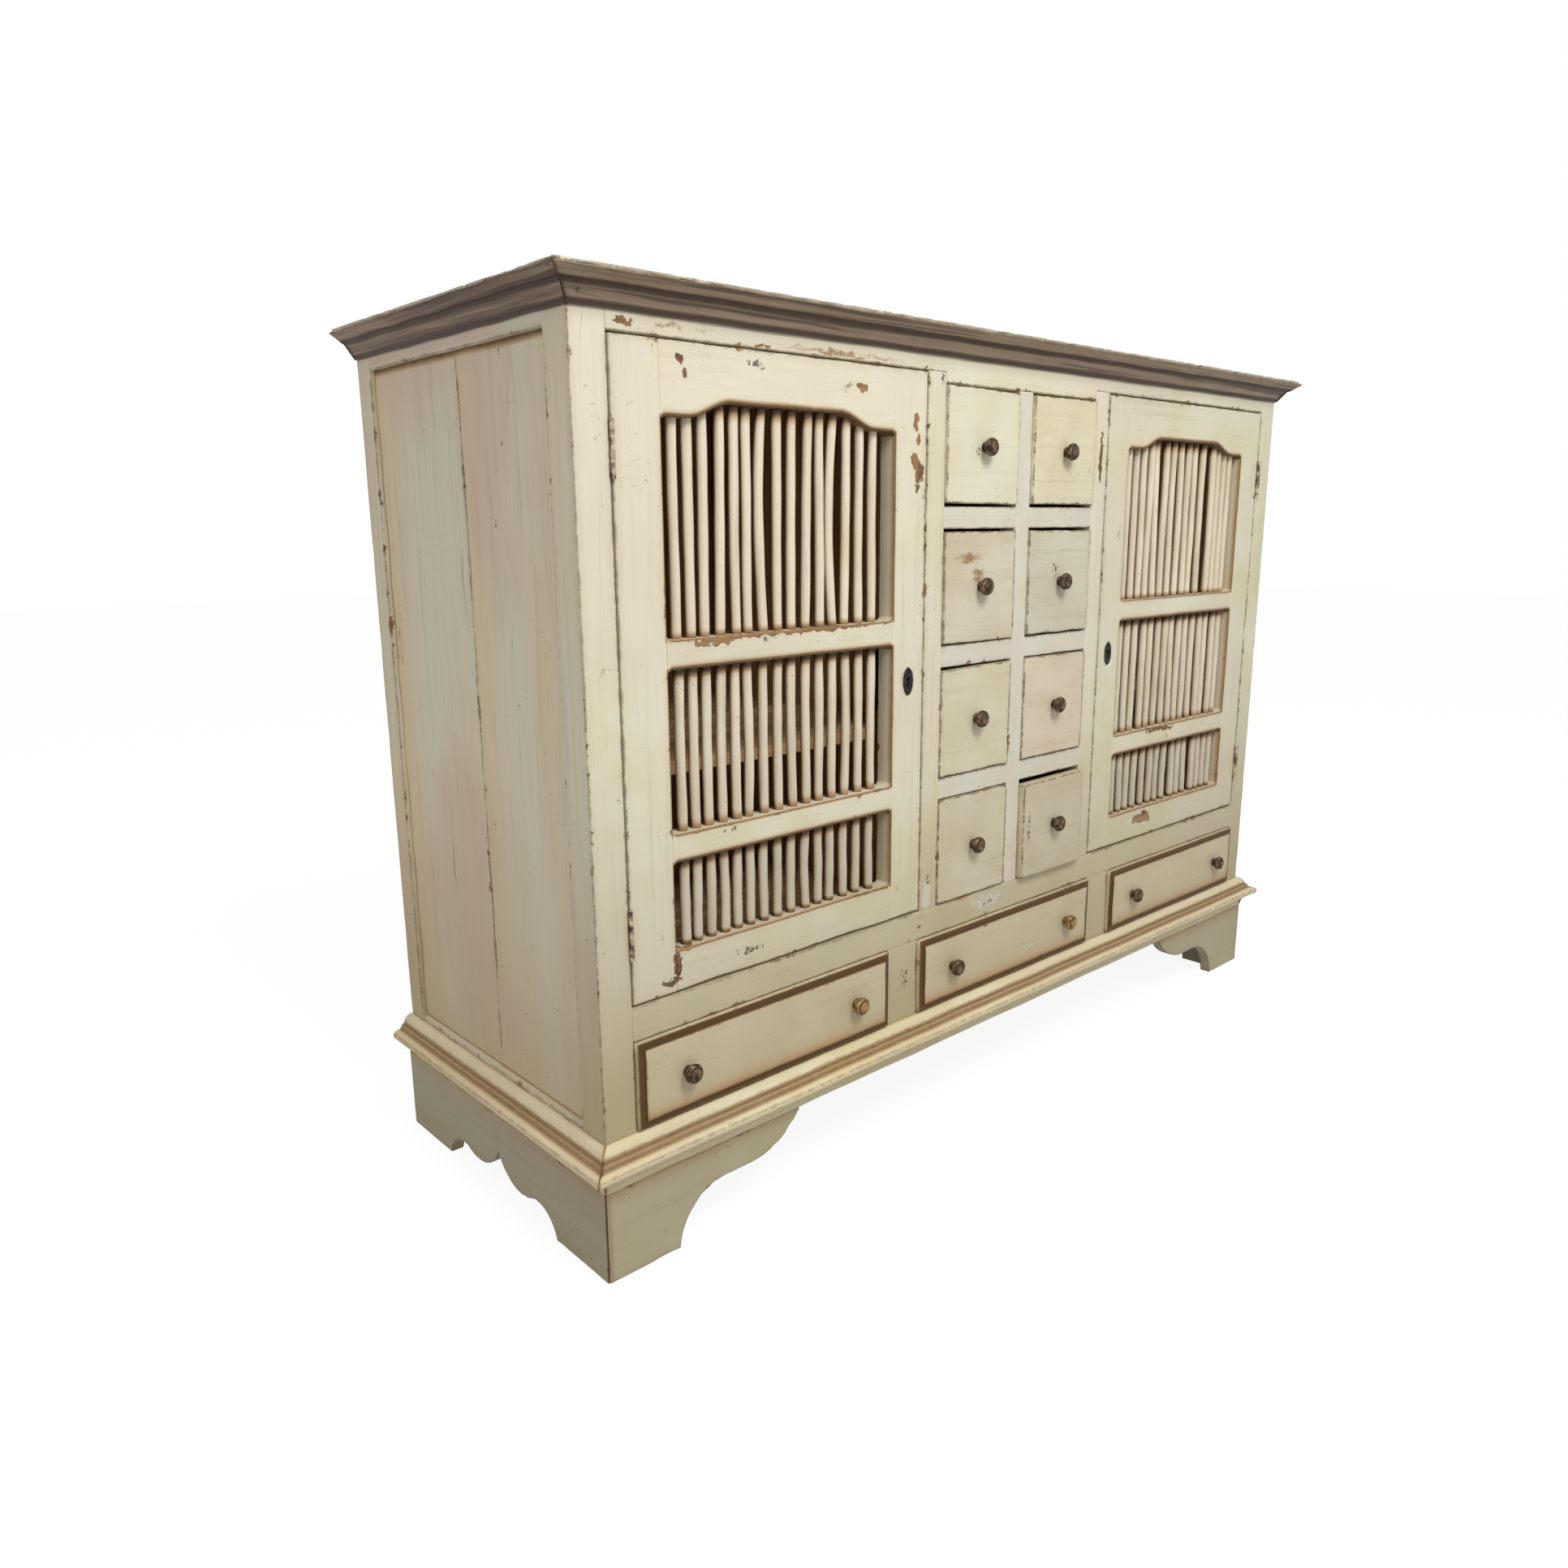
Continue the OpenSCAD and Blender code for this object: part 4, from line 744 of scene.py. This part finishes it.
def corniceSection(s):
    # out from the body and up: a small fillet, a shallow hollow, a step and a sloping band; the hollow is a
    # straight run plus half a sine wave inwards
    bandX, bandZ = s["out"] - s["bandIn"], s["high"] - s["band"]
    top, foot = np.array([bandX - s["step"], bandZ]), np.array([s["fillet"], s["fillet"]])
    share = np.linspace(0, 1, 12)[:, None]
    inward = np.array([top[1] - foot[1], foot[0] - top[0]]) / np.hypot(*(top - foot)) * -1
    hollow = foot + share * (top - foot) + inward * s["hollow"] * np.sin(np.pi * share)
    line = [straight((0, 0), (s["fillet"] - 0.4, 0), 1.5),
            straight((s["fillet"], 0.4), (s["fillet"], s["fillet"] - 0.4), 1.5), hollow,
            straight((top[0] + 0.5, bandZ), (bandX - 0.5, bandZ), 1.0),
            straight((bandX + 0.2, bandZ + 0.2), (s["out"] - 0.6, s["high"] - s["edge"] - 0.5), 2.4),
            straight((s["out"], s["high"] - s["edge"]), (s["out"], s["high"] - 0.6), 0.5),
            straight((s["out"] - 0.5, s["high"]), (0, s["high"]), 9)]
    proud = [(s["out"], s["high"] - 1), (bandX, bandZ), (s["fillet"], s["fillet"] - 1)]
    deep = [(top[0], bandZ), (top[0] - 2, bandZ - 2.5), (s["fillet"], s["fillet"])]
    return np.concatenate(line), proud, deep


def plinthSection(s):
    # out from the body and up: the foot's band, a round nose, a hollow and a quarter round, as a closed line
    noseX, beadZ = s["out"] - s["nose"], s["high"] - s["bead"]
    noseZ = beadZ - s["cove"] - s["nose"]
    line = [straight((0, 0), (s["foot"], 0)), straight((s["foot"], 1), (s["foot"], noseZ - s["nose"] - 1)),
            straight((s["foot"] + 1, noseZ - s["nose"]), (noseX, noseZ - s["nose"])),
            arc(noseX, noseZ, s["nose"], -80, 84, 14), arc(noseX, beadZ, s["cove"], -96, -176, 9),
            straight((noseX - s["cove"], beadZ), (s["bead"] + 0.6, beadZ), 1.2),
            arc(0, beadZ, s["bead"], 3, 88, 14)]
    proud = [(s["out"] - 1, noseZ + 3), (s["out"] - 3, noseZ - 5), (s["bead"], beadZ + 4)]
    deep = [(noseX - s["cove"] * 0.6, beadZ - s["cove"] * 0.6), (noseX - 4.5, beadZ - 4.0),
            (s["bead"] + 1, beadZ)]
    return np.concatenate(line), proud, deep


def addRun(pile, section, s, way):
    # a moulding: its section carried along the front (way 0) or a side, as far as each point's distance out
    line, proud, deep = section
    out, up = line[:, 0], line[:, 1]
    near, hollow = (np.min([np.hypot(out - x, up - y) for x, y in spots], 0) for spots in (proud, deep))
    # dark in the hollows: brown wax in the plinth's cove, painted shade in the cornice's step and at its foot
    tone = s["deepTone"] * np.clip(1.25 - hollow / s["deepReach"], 0, 1)
    if way == 0:
        start, end = -(bodySize["side"] + out), bodySize["side"] + out
    else:
        start, end = bodySize["front"] - out, np.full(len(out), bodySize["back"])
    count = int((end[0] - start[0]) / 9)
    share = np.concatenate([[0, 0.0006, 0.003], np.linspace(0.006, 0.994, count), [0.997, 0.9994, 1]])
    along = start + share[:, None] * (end - start)
    if way == 0:
        points = joined(along, bodySize["front"] - out, s["low"] + up)
    else:
        points = joined(way * (bodySize["side"] + out), along, s["low"] + up)
    atEnd = np.minimum(along - start, (end - along) if way == 0 else 99)
    points[..., 2] += np.clip(1.0 - atEnd, 0, 1) * 0.5 * np.sign(15 - up)
    seed = 91 + 7 * (way + 2) + int(s["low"])
    grain = joined(along, out, up) / 1000 + np.random.default_rng(seed).uniform(0, 20, 3)
    toned = np.clip(tone + 0.9 * np.exp(-np.clip(atEnd, 0, 99) / 1.3), 0, 1)
    # the side runs take the darker side colours: painted shade
    wear = joined(np.minimum(near, np.clip(atEnd, 0, noEdge)), toned, float(way != 0))
    points += wavesAt(points, seed, (300, 190, 120, 80), 0.35)
    dents = dentsAt(points, seed + 5, (47, 33, 21, 14, 11), 0.3, near / 1.6) * s["nibble"]
    points[..., 2] -= dents * np.sign(up - up.mean())
    points[..., 1 if way == 0 else 0] += dents * (1 if way == 0 else -way) * 0.6
    addSurface(pile, points, grain, wear)


for node, section, settings, paint in (("cornice", corniceSection, corniceSettings, cornicePaint),
                                       ("plinth_moulding", plinthSection, plinthSettings, plinthPaint)):
    pile = newPile()
    for way in (0, -1, 1):
        addRun(pile, section(settings), settings, way)
    makePiece(pile, node, paint)

# a thin lip over the cornice; the boards proper end at the body
topSettings = {"lip": 4.0}
pile = newPile()
for low, high in boxesOf("top_boards"):
    lipLow = np.array([low[0], low[1], high[2] - topSettings["lip"]])
    addBoard(pile, lipLow, high, radius=1.1, step=9.0, nibble=2.2, ripple=0.25)
    coreLow = (-bodySize["side"], max(low[1], bodySize["front"]), low[2])
    addBoard(pile, coreLow, (bodySize["side"], high[1], lipLow[2] + 0.5), step=40.0)
makePiece(pile, "top_boards", topPaint)
print("mouldings ready")

# Feet

footSettings = {"high": 113.0, "frontCoveAt": 173.0, "frontCoveTop": 67.0, "frontCove": 72.0,
                "frontLobeAt": 213.0, "frontLobe": 96.0, "sideCoveAt": 154.0, "sideCoveTop": 32.0,
                "sideCove": 44.0, "sideLobeIn": 56.0, "sideLobeLow": 24.0, "sideLobe": 62.0, "block": 55.0}


def bracketEdge(u, coveAt, coveTop, cove, lobeAt, lobeLow, lobe):
    # height of a bracket's lower edge at the distance u from its corner: foot, hollow, lobe
    hollow = coveTop - cove + np.sqrt(np.clip(cove ** 2 - (u - coveAt) ** 2, 0, None))
    lobeEdge = lobeLow + lobe - np.sqrt(np.clip(lobe ** 2 - (u - lobeAt) ** 2, 0, None))
    past = np.where(u < lobeAt, np.minimum(coveTop, lobeEdge), lobeEdge)
    return np.where(u < coveAt, np.maximum(hollow, 0) * (u > coveAt - cove), past)


def frontEdge(u, s=footSettings):
    return bracketEdge(u, s["frontCoveAt"], s["frontCoveTop"], s["frontCove"], s["frontLobeAt"],
                       s["frontCoveTop"], s["frontLobe"])


def skirtEdge(u, length, s=footSettings):
    half = length / 2
    u = half - np.abs(u - half)
    return bracketEdge(u, s["sideCoveAt"], s["sideCoveTop"], s["sideCove"], half - s["sideLobeIn"],
                       s["sideLobeLow"], s["sideLobe"])


footBoxes = np.array(boxesOf("bracket_feet"))
footOut, footFront = footBoxes[:, 1, 0].max(), footBoxes[:, 0, 1].min()


def footTone(points, fromLow, fromHigh):
    # dark along the mitred corner, and painted shade under the moulding
    corner = np.maximum(footOut - np.abs(points[..., 0]), points[..., 1] - footFront)
    under = footSettings["high"] - points[..., 2]
    return np.maximum(1.4 * np.clip(1.6 - corner / 1.6, 0, 1), 0.3 * np.clip(1 - under / 20, 0, 1))


pile = newPile()
for low, high in boxesOf("bracket_feet"):
    way = -1 if low[0] < 0 else 1
    outer = low[0] if way < 0 else high[0]
    size = high - low
    if size[1] > 300:                          # a side skirt
        steps = np.concatenate([np.arange(104, 126, 2.5), np.arange(126, 252, 4)])
        marks = np.concatenate([low[1] + steps, high[1] - steps])
        addBoard(pile, low, high, along=1, lower=lambda y: skirtEdge(y - low[1], size[1]), extra=marks,
                 mitre=outer, radius=1.4, toneAt=footTone)
    elif low[1] < -200:                        # a front bracket
        marks = np.concatenate([np.arange(99, 120, 2), np.arange(120, 300, 5)])
        corner, end = -abs(outer), -min(abs(low[0]), abs(high[0]))
        addBoard(pile, (corner, low[1], low[2]), (end, high[1], high[2] - 0.02), along=0,
                 lower=lambda x: np.minimum(frontEdge(x - corner), high[2] - 4), extra=corner + marks,
                 mitre=low[1], radius=1.4, toneAt=footTone)
        if way > 0:                            # made as the left one and mirrored
            for part in pile["points"][-3:]:
                part[:, 0] *= -1
    else:                                      # a back bracket
        end = high[0] if way < 0 else low[0]
        reach = size[0] - footSettings["block"]
        addBoard(pile, low, high, along=0, extra=end + way * np.arange(0, reach + 8, 4),
                 lower=lambda x: np.sqrt(np.clip(reach ** 2 - (end - x) ** 2, 0, None)) * 0.98)
makePiece(pile, "bracket_feet", footPaint)
print("feet ready")

# Doors

doorSettings = {"corner": 6.0, "archRise": 17.0, "archFlat": 34.0, "archRun": 60.0, "holeWidth": 9.56,
                "holeHeight": 18.06, "plateProud": 0.4}
# dark wax round the openings: a line on the face's edge, and the walls near the face and inside; under the
# rails and along the arch it is painted shade as well
stainSettings = {"side": {"line": 2.4, "lineTone": 0.85, "near": 0.6, "inside": 0.14},
                 "top": {"line": 2.4, "lineTone": 0.85, "near": 0.4, "inside": 0.1},
                 "under": {"line": 4.4, "lineTone": 1.3, "near": 1.0, "inside": 0.8}, "band": 5.0}
rodSettings = {"sides": 14, "stations": 26, "wander": 0.35, "swell": 0.05, "tipTone": 0.9, "tip": 10.0,
               "sideTone": {"left": 0.75, "right": 0.45}}
keySettings = {"wide": 9.5, "high": 18.0, "hole": 3.2, "slotHalf": 1.4, "slotLow": -9.2, "holeUp": 2.8,
               "deep": 20.0, "count": 72}


def filletAt(distance, radius):
    # how far a rounded inner corner reaches into an opening at a distance from its end
    inside = np.clip(radius - distance, 0, radius)
    return radius - np.sqrt(radius ** 2 - inside ** 2)


def archAt(distance, s=doorSettings):
    share = np.clip((distance - s["archFlat"]) / s["archRun"], 0, 1)
    return s["archRise"] * (1 - np.cos(np.pi * share)) / 2


def stain(gap, depth, wall):
    # brown wax round an opening, with painted shade on the walls under a rail; gap is the distance from the
    # opening, depth the distance behind the door's face
    s = stainSettings[wall]
    onFace = s["lineTone"] * np.clip(1.25 - gap / s["line"], 0, 1)
    onWall = s["inside"] + (s["near"] - s["inside"]) * np.clip(1.5 - depth / stainSettings["band"], 0, 1)
    return np.where(depth < 0.9, onFace, onWall * (gap < 0.9))


def stileWithHole(pile, node, keyAt):
    # the lock stile gets its recess by a cut through the finished board
    piece = makePiece(pile, node, creamPaint)
    s = doorSettings
    turn = np.radians(np.arange(0, 360, 7.5))
    across, up = keyAt[0] + s["holeWidth"] * np.cos(turn), keyAt[2] + s["holeHeight"] * np.sin(turn)
    cutter = bpy.data.meshes.new("cutter")
    count = len(turn)
    points = np.concatenate([joined(across, y, up) for y in (keyAt[1] - 5, keyAt[1] + 40)]) / 1000
    faces = [list(range(count)), list(range(2 * count - 1, count - 1, -1))]
    faces += [[k, k + count, (k + 1) % count + count, (k + 1) % count] for k in range(count)]
    cutter.from_pydata(points.tolist(), [], faces)
    cleanMesh(cutter)
    tool = addObject("cutter", cutter)
    cut = piece.modifiers.new("recess", "BOOLEAN")
    cut.operation, cut.solver, cut.object = "DIFFERENCE", "EXACT", tool
    bpy.context.view_layer.update()
    finished = bpy.data.meshes.new_from_object(piece.evaluated_get(bpy.context.evaluated_depsgraph_get()))
    piece.modifiers.clear()
    before, piece.data = piece.data, finished
    bpy.data.meshes.remove(before)
    bpy.data.objects.remove(tool)
    bpy.data.meshes.remove(cutter)


def makeDoor(side):
    stileBoxes = boxesOf(side + "_door_stiles")
    railBoxes = sorted(boxesOf(side + "_door_rails"), key=lambda o: o[0][2])
    s = doorSettings
    top = len(railBoxes) - 1
    plain = []                                 # the rails without the fillings in their corners
    for k, (low, high) in enumerate(railBoxes):
        low, high = low.copy(), high.copy()
        if k > 0:
            low[2] += s["corner"]
        if k < top:
            high[2] -= s["corner"]
        plain.append((low, high))
    low, high = min(boxesOf(side + "_door_lock"), key=lambda o: o[1][1] - o[0][1])      # the keyhole plate
    keyAt = ((low[0] + high[0]) / 2, low[1], (low[2] + high[2]) / 2)
    pile = newPile()
    opens = [(plain[k][1][2], plain[k + 1][0][2]) for k in range(top)]
    inner = [plain[0][0][0], plain[0][1][0]]
    for low, high in stileBoxes:
        def stileTone(points, fromLow, fromHigh, front=low[1]):
            gap = np.minimum(np.abs(points[..., 0] - inner[0]), np.abs(points[..., 0] - inner[1]))
            z = points[..., 2]
            within = sum((z > z0 - 2) & (z < z1 + 2) for z0, z1 in opens)
            return stain(gap, points[..., 1] - front, "side") * within
        addBoard(pile, low, high, others=plain, radius=1.3, step=12.0, nibble=0.9, toneAt=stileTone,
                 extra=[z + d for pair in opens for z in pair for d in (-3, -1, 1, 3)])
    stileWithHole(pile, side + "_door_stiles", keyAt)
    pile = newPile()
    for k, (low, high) in enumerate(plain):
        def fromEnd(x, low=low, high=high):
            return np.minimum(x - low[0], high[0] - x)
        near = np.array([0.3, 1.2, 2.4, 3.8, 5.2, 6.4])
        extra = np.concatenate([low[0] + near, high[0] - near])
        shape = {}
        if k == top:
            run = np.arange(s["archFlat"] - 4, s["archFlat"] + s["archRun"] + 6, 3.0)
            extra = np.concatenate([extra, low[0] + run, high[0] - run])
            shape["lower"] = lambda x: low[2] + archAt(fromEnd(x)) - filletAt(fromEnd(x), s["corner"])
        elif k > 0:
            shape["lower"] = lambda x: low[2] - filletAt(fromEnd(x), s["corner"])
        if k < top:
            shape["upper"] = lambda x: high[2] + filletAt(fromEnd(x), s["corner"])
        def railTone(points, fromLow, fromHigh, front=low[1], k=k):
            depth = points[..., 1] - front
            # painted shade with the wax on the wall under a rail
            under = stain(fromLow, depth, "under") if k > 0 else 0.0
            return np.maximum(under, stain(fromHigh, depth, "top") if k < top else 0.0)
        addBoard(pile, low, high, along=0, others=stileBoxes, extra=extra, radius=1.3, step=10.0, nibble=0.9,
                 toneAt=railTone, **shape)
    makePiece(pile, side + "_door_rails", creamPaint)
    makeRods(side)
    makeLock(side, keyAt)


def makeRods(side):
    # each rod is a tube along a shallow bow, with a slightly uneven radius
    s = rodSettings
    pile = newPile()
    turn = np.arange(s["sides"]) * 2 * np.pi / s["sides"]
    share = np.linspace(0, 1, s["stations"])
    share = np.sort(np.concatenate([share, 0.5 + 0.5 * share[-2:] - 0.02, [0.93, 0.95, 0.97]]))[:, None]
    for k, (low, high, points) in enumerate(solidsOf(side + "_door_rods")):
        height = high[2] - low[2]
        atEnds = (points[:, 2] < low[2] + 3) | (points[:, 2] > high[2] - 3)
        midway = np.abs(points[:, 2] - (low[2] + high[2]) / 2) < height * 0.06
        footX, tipX = (points[atEnds & (np.abs(points[:, 2] - z) < 20), 0].mean() for z in (low[2], high[2]))
        bow = points[midway, 0].mean() - (footX + tipX) / 2 if midway.any() else 0.0
        radius = (high[1] - low[1]) / 2
        random = np.random.default_rng(300 + k + (1000 if side == "left" else 0))
        phase = random.uniform(*anyPhase, 6)
        drift = s["wander"] * np.sin(share * random.uniform(3, 8) + phase[0])
        x = footX + (tipX - footX) * share + bow * (1 - (2 * share - 1) ** 2) + drift
        y = (low[1] + high[1]) / 2 + s["wander"] * np.sin(share * random.uniform(3, 8) + phase[1])
        z = low[2] + height * share
        swell = 0.5 * np.sin(share * 19 + phase[2]) + 0.5 * np.sin(turn * 2 + phase[3] + share * 4)
        uneven = 1 - s["swell"] * (0.7 + swell)
        grid = joined(x + radius * uneven * np.cos(turn), y + radius * uneven * np.sin(turn), z)
        # dark at both ends: brown wax, and at the upper ends painted shade from the rail above
        tip = np.minimum((z - low[2] - 12) * 2, high[2] - z - 12)
        tone = s["tipTone"] * np.clip(1.5 - tip / s["tip"], 0, 1)
        # brown wax and painted shade on both sides, where the rods face each other, less on the back
        waxed = np.clip(np.sin(turn) * 1.4 + 0.45, 0, 1) * (1 - 0.65 * np.clip(np.sin(turn) * 2 - 1, 0, 1))
        grain = grid[..., [2, 0, 1]] / 1000 + random.uniform(0, 20, 3)
        wear = joined(noEdge, np.clip(tone + s["sideTone"][side] * waxed, 0, 1), 0.0)
        addSurface(pile, grid, grain, wear)
    makePiece(pile, side + "_door_rods", rodPaint)


def makeLock(side, keyAt):
    # the plate is a surface between two outlines seen from the keyhole's centre: a keyhole and an oval, whose
    # reach r in a direction solves (r dx / wide)^2 + ((up + r dz) / high)^2 = 1
    s = keySettings
    turn = np.arange(s["count"]) * 2 * np.pi / s["count"]
    dx, dz = np.cos(turn), np.sin(turn)
    slot = np.minimum(s["slotHalf"] / np.maximum(np.abs(dx), 1e-6),
                      (s["holeUp"] - s["slotLow"]) / np.maximum(-dz, 1e-6))
    inner = np.where(dz < 0, np.maximum(s["hole"], slot), s["hole"])
    square = (dx / s["wide"]) ** 2 + (dz / s["high"]) ** 2
    half = s["holeUp"] * dz / s["high"] ** 2
    outer = (-half + np.sqrt(half ** 2 - square * ((s["holeUp"] / s["high"]) ** 2 - 1))) / square
    front = keyAt[1] - doorSettings["plateProud"]
    back = keyAt[1] + s["deep"]
    rings = [(inner, back), (inner, front + 0.5), (inner + 0.35, front),
             (inner * 0.3 + outer * 0.7, front - 0.05), (outer - 0.9, front), (outer - 0.15, front + 0.35),
             (outer, front + 0.9), (outer, back), (inner, back)]
    pile = newPile()
    grid = np.stack([joined(keyAt[0] + r * dx, y, keyAt[2] + s["holeUp"] + r * dz) for r, y in rings])
    addSurface(pile, grid, grid / 1000, joined(np.full(grid.shape[:2], noEdge), 0.0, 0.0), ends=False)
    case = max(boxesOf(side + "_door_lock"), key=lambda o: o[1][1] - o[0][1])
    addBoard(pile, *case, radius=0.8, ripple=0.0, nibble=0.2)
    makePiece(pile, side + "_door_lock", blackIron, merge=0.01)
    boardsPiece(side + "_lock_bolt", agedBrass, radius=0.5, ripple=0.0, nibble=0.1)


for side in sides:
    makeDoor(side)
for node in ("left_door_hinges", "right_door_hinges", "frame_hinges"):
    carriedOver = frame["nodes"][node].data.materials
    carriedOver.clear()
    carriedOver.append(hingePaint)
print("doors ready")

# Drawers and knobs

borderSettings = {"border": 9.0, "deep": 3.0, "tone": 1.25, "step": 9.0, "stain": 0.55, "stainHigh": 26.0}
# the knob's line is given by distances from its axis and out from the front, dark by the same
knobSettings = {"count": 40, "long": 21.0, "line": (
    (2.4, -12), (2.5, -11.5), (2.5, -0.1),
    (6.4, -0.05), (7.0, 0.3), (7.2, 0.9), (6.8, 1.5), (5.8, 1.9), (5.0, 2.5), (4.7, 3.3), (4.8, 4.2),
    (5.6, 5.0), (7.5, 5.9), (9.6, 7.1), (11.1, 8.7), (11.9, 10.4), (12.0, 12.0), (11.5, 13.7), (10.4, 15.2),
    (9.2, 16.1), (8.8, 16.3), (8.4, 16.3), (7.7, 16.8), (6.1, 17.6), (4.2, 18.2), (2.2, 18.5), (1.0, 18.6),
    (0.3, 18.6)),
    "dark": ((4.7, 3.6), (7.0, 0.6), (9.8, 7.2), (7.6, 5.9), (5.6, 5.0), (8.7, 16.3))}


def addKnob(pile, x, faceY, z, seed, material):
    # a turned line carried round the knob's axis; the hollows of the line hold patina
    s = knobSettings
    line = np.array(s["line"])
    turn = np.arange(s["count"]) * 2 * np.pi / s["count"]
    radius, out = line[:, :1], line[:, 1:]
    grid = joined(x + radius * np.cos(turn), faceY - out, z + radius * np.sin(turn))
    dark = np.min([np.hypot(radius - r, out - o) for r, o in s["dark"]], 0)
    wear = joined(noEdge, np.clip(1.3 - dark / 1.6, 0, 1), 0 * turn)
    grid += wavesAt(grid, seed, (40, 25, 17), 0.12)
    addSurface(pile, grid, grid / 1000, wear, material)


def knobPiece(node, rubbed=False):
    # the right-hand knob of a pair may be rubbed bright
    pile = newPile()
    boxes = sorted(boxesOf(node), key=lambda o: o[0][0])
    for k, (low, high) in enumerate(boxes):
        addKnob(pile, (low[0] + high[0]) / 2, low[1] + knobSettings["long"], (low[2] + high[2]) / 2,
                40 + k + len(node), int(rubbed and k == len(boxes) - 1))
    makePiece(pile, node, *([agedBrass, rubbedBrass] if rubbed else [agedBrass]))


# how much each small front is short of its place, in mm: top left, top right, bottom left, bottom right
shortBy = {"1_left": (0.2, 2.0, 3.2, 2.0), "1_right": (1.6, 0.8, 3.0, 2.6), "2_left": (2.8, 2.0, 0.8, 0.4),
           "2_right": (2.2, 2.6, 2.0, 0.8), "3_left": (4.6, 1.2, 0.5, 0.4), "3_right": (0.6, 1.6, 0.4, 0.4),
           "4_left": (0.9, 0.9, 0.3, 0.2), "4_right": (6.5, 5.0, 0.0, 0.0)}


def makeSmallDrawer(node, paint):
    boxes = sorted(boxesOf(node), key=lambda o: o[0][1])
    low, high = boxes[0]
    topLeft, topRight, lowLeft, lowRight = shortBy[node[len("spice_drawer_"):]]
    ends = (low[0], high[0])
    pile = newPile()
    addBoard(pile, low, high, along=0, radius=1.6, step=12.0, nibble=1.1, ripple=0.35,
             lower=lambda x: low[2] + np.interp(x, ends, (lowLeft, lowRight)),
             upper=lambda x: high[2] - np.interp(x, ends, (topLeft, topRight)))
    for low2, high2 in boxes[1:]:
        addBoard(pile, low2, high2, material=1, step=40.0, ripple=0.05)
    makePiece(pile, node, paint, boxWood)


def makeLongFront(node):
    # rings of a rectangle drawn inwards: round the back edge, over the sunk border and on to the middle of
    # the field, each with its inset, its place in depth, its gap from an edge and its share of wax
    s = borderSettings
    low, high = boxesOf(node)[0]
    size = high - low
    half = size[2] / 2 - 0.05
    face, sunk, back, b = low[1], low[1] + s["deep"], high[1], s["border"]
    rings = [(half, back, noEdge, 0), (half * 0.5, back, noEdge, 0), (1.2, back, 1, 0),
             (0.3, back - 0.4, 0, 0), (0, back - 1.2, 0, 0), (0, back - 8, 8, 0), (0, sunk + 4, 4, 0),
             (0, sunk + 1.2, 1, 0.1), (0.35, sunk + 0.35, 0, 0.3), (1.2, sunk, 1, 0.75),
             (2.4, sunk, noEdge, 1), (4.5, sunk, noEdge, 1), (b - 1, sunk, noEdge, 1),
             (b - 0.3, sunk - 0.1, noEdge, 1), (b, sunk - 0.5, 6, 1), (b, face + 0.9, 1, 0.85),
             (b + 0.35, face + 0.25, 0, 0.4), (b + 1.1, face, 1, 0.12), (b + 4, face, 4, 0),
             (b + 9, face, 9, 0), (b + 16, face, noEdge, 0), (b + 26, face, noEdge, 0),
             (half, face, noEdge, 0)]
    across, up = int(size[0] / s["step"]), int(size[2] / s["step"])
    t = [np.linspace(0, 1, n, endpoint=False) for n in (across, up, across, up)]
    u = np.concatenate([t[0], np.ones(up), 1 - t[2], np.zeros(up)])
    v = np.concatenate([np.zeros(across), t[1], np.ones(across), 1 - t[3]])
    inset, y, rim, tone = np.array(rings).T[:, :, None]
    x, z = (low[k] + inset + way * (size[k] - 2 * inset) for k, way in ((0, u), (2, v)))
    grid, wear = joined(x, y, z), joined(rim, tone * s["tone"], 0 * u)
    field = (grid[..., 1] < face + 0.5) & (wear[..., 1] < 0.2)
    wear[..., 1] += field * s["stain"] * np.clip(1 - (z - low[2] - b) / s["stainHigh"], 0, 1) ** 1.5
    seed = int(abs(low[0])) + 5
    grain = grid / 1000 + np.random.default_rng(seed).uniform(0, 20, 3)
    grid += wavesAt(grid, seed, boardSettings["waves"], 0.25)
    dents = dentsAt(grid, seed + 5, boardSettings["dents"], 0.4, wear[..., 0] / 1.2)
    grid[..., 1] += dents * 0.8 * (grid[..., 1] < back - 6)
    pile = newPile()
    addSurface(pile, grid, grain, wear, ends=False)
    makePiece(pile, node, longPaint, merge=0.2)


for row in (1, 2, 3, 4):
    for side in sides:
        makeSmallDrawer(f"spice_drawer_{row}_{side}", drawerPaints[2 * row - 2 + sides.index(side)])
        knobPiece(f"spice_knob_{row}_{side}")
for where in ("left", "middle", "right"):
    makeLongFront("long_front_" + where)
    boardsPiece("long_box_" + where, boxWood, step=40.0, ripple=0.05)
    knobPiece("long_knobs_" + where, rubbed=where != "right")
print("drawers ready")
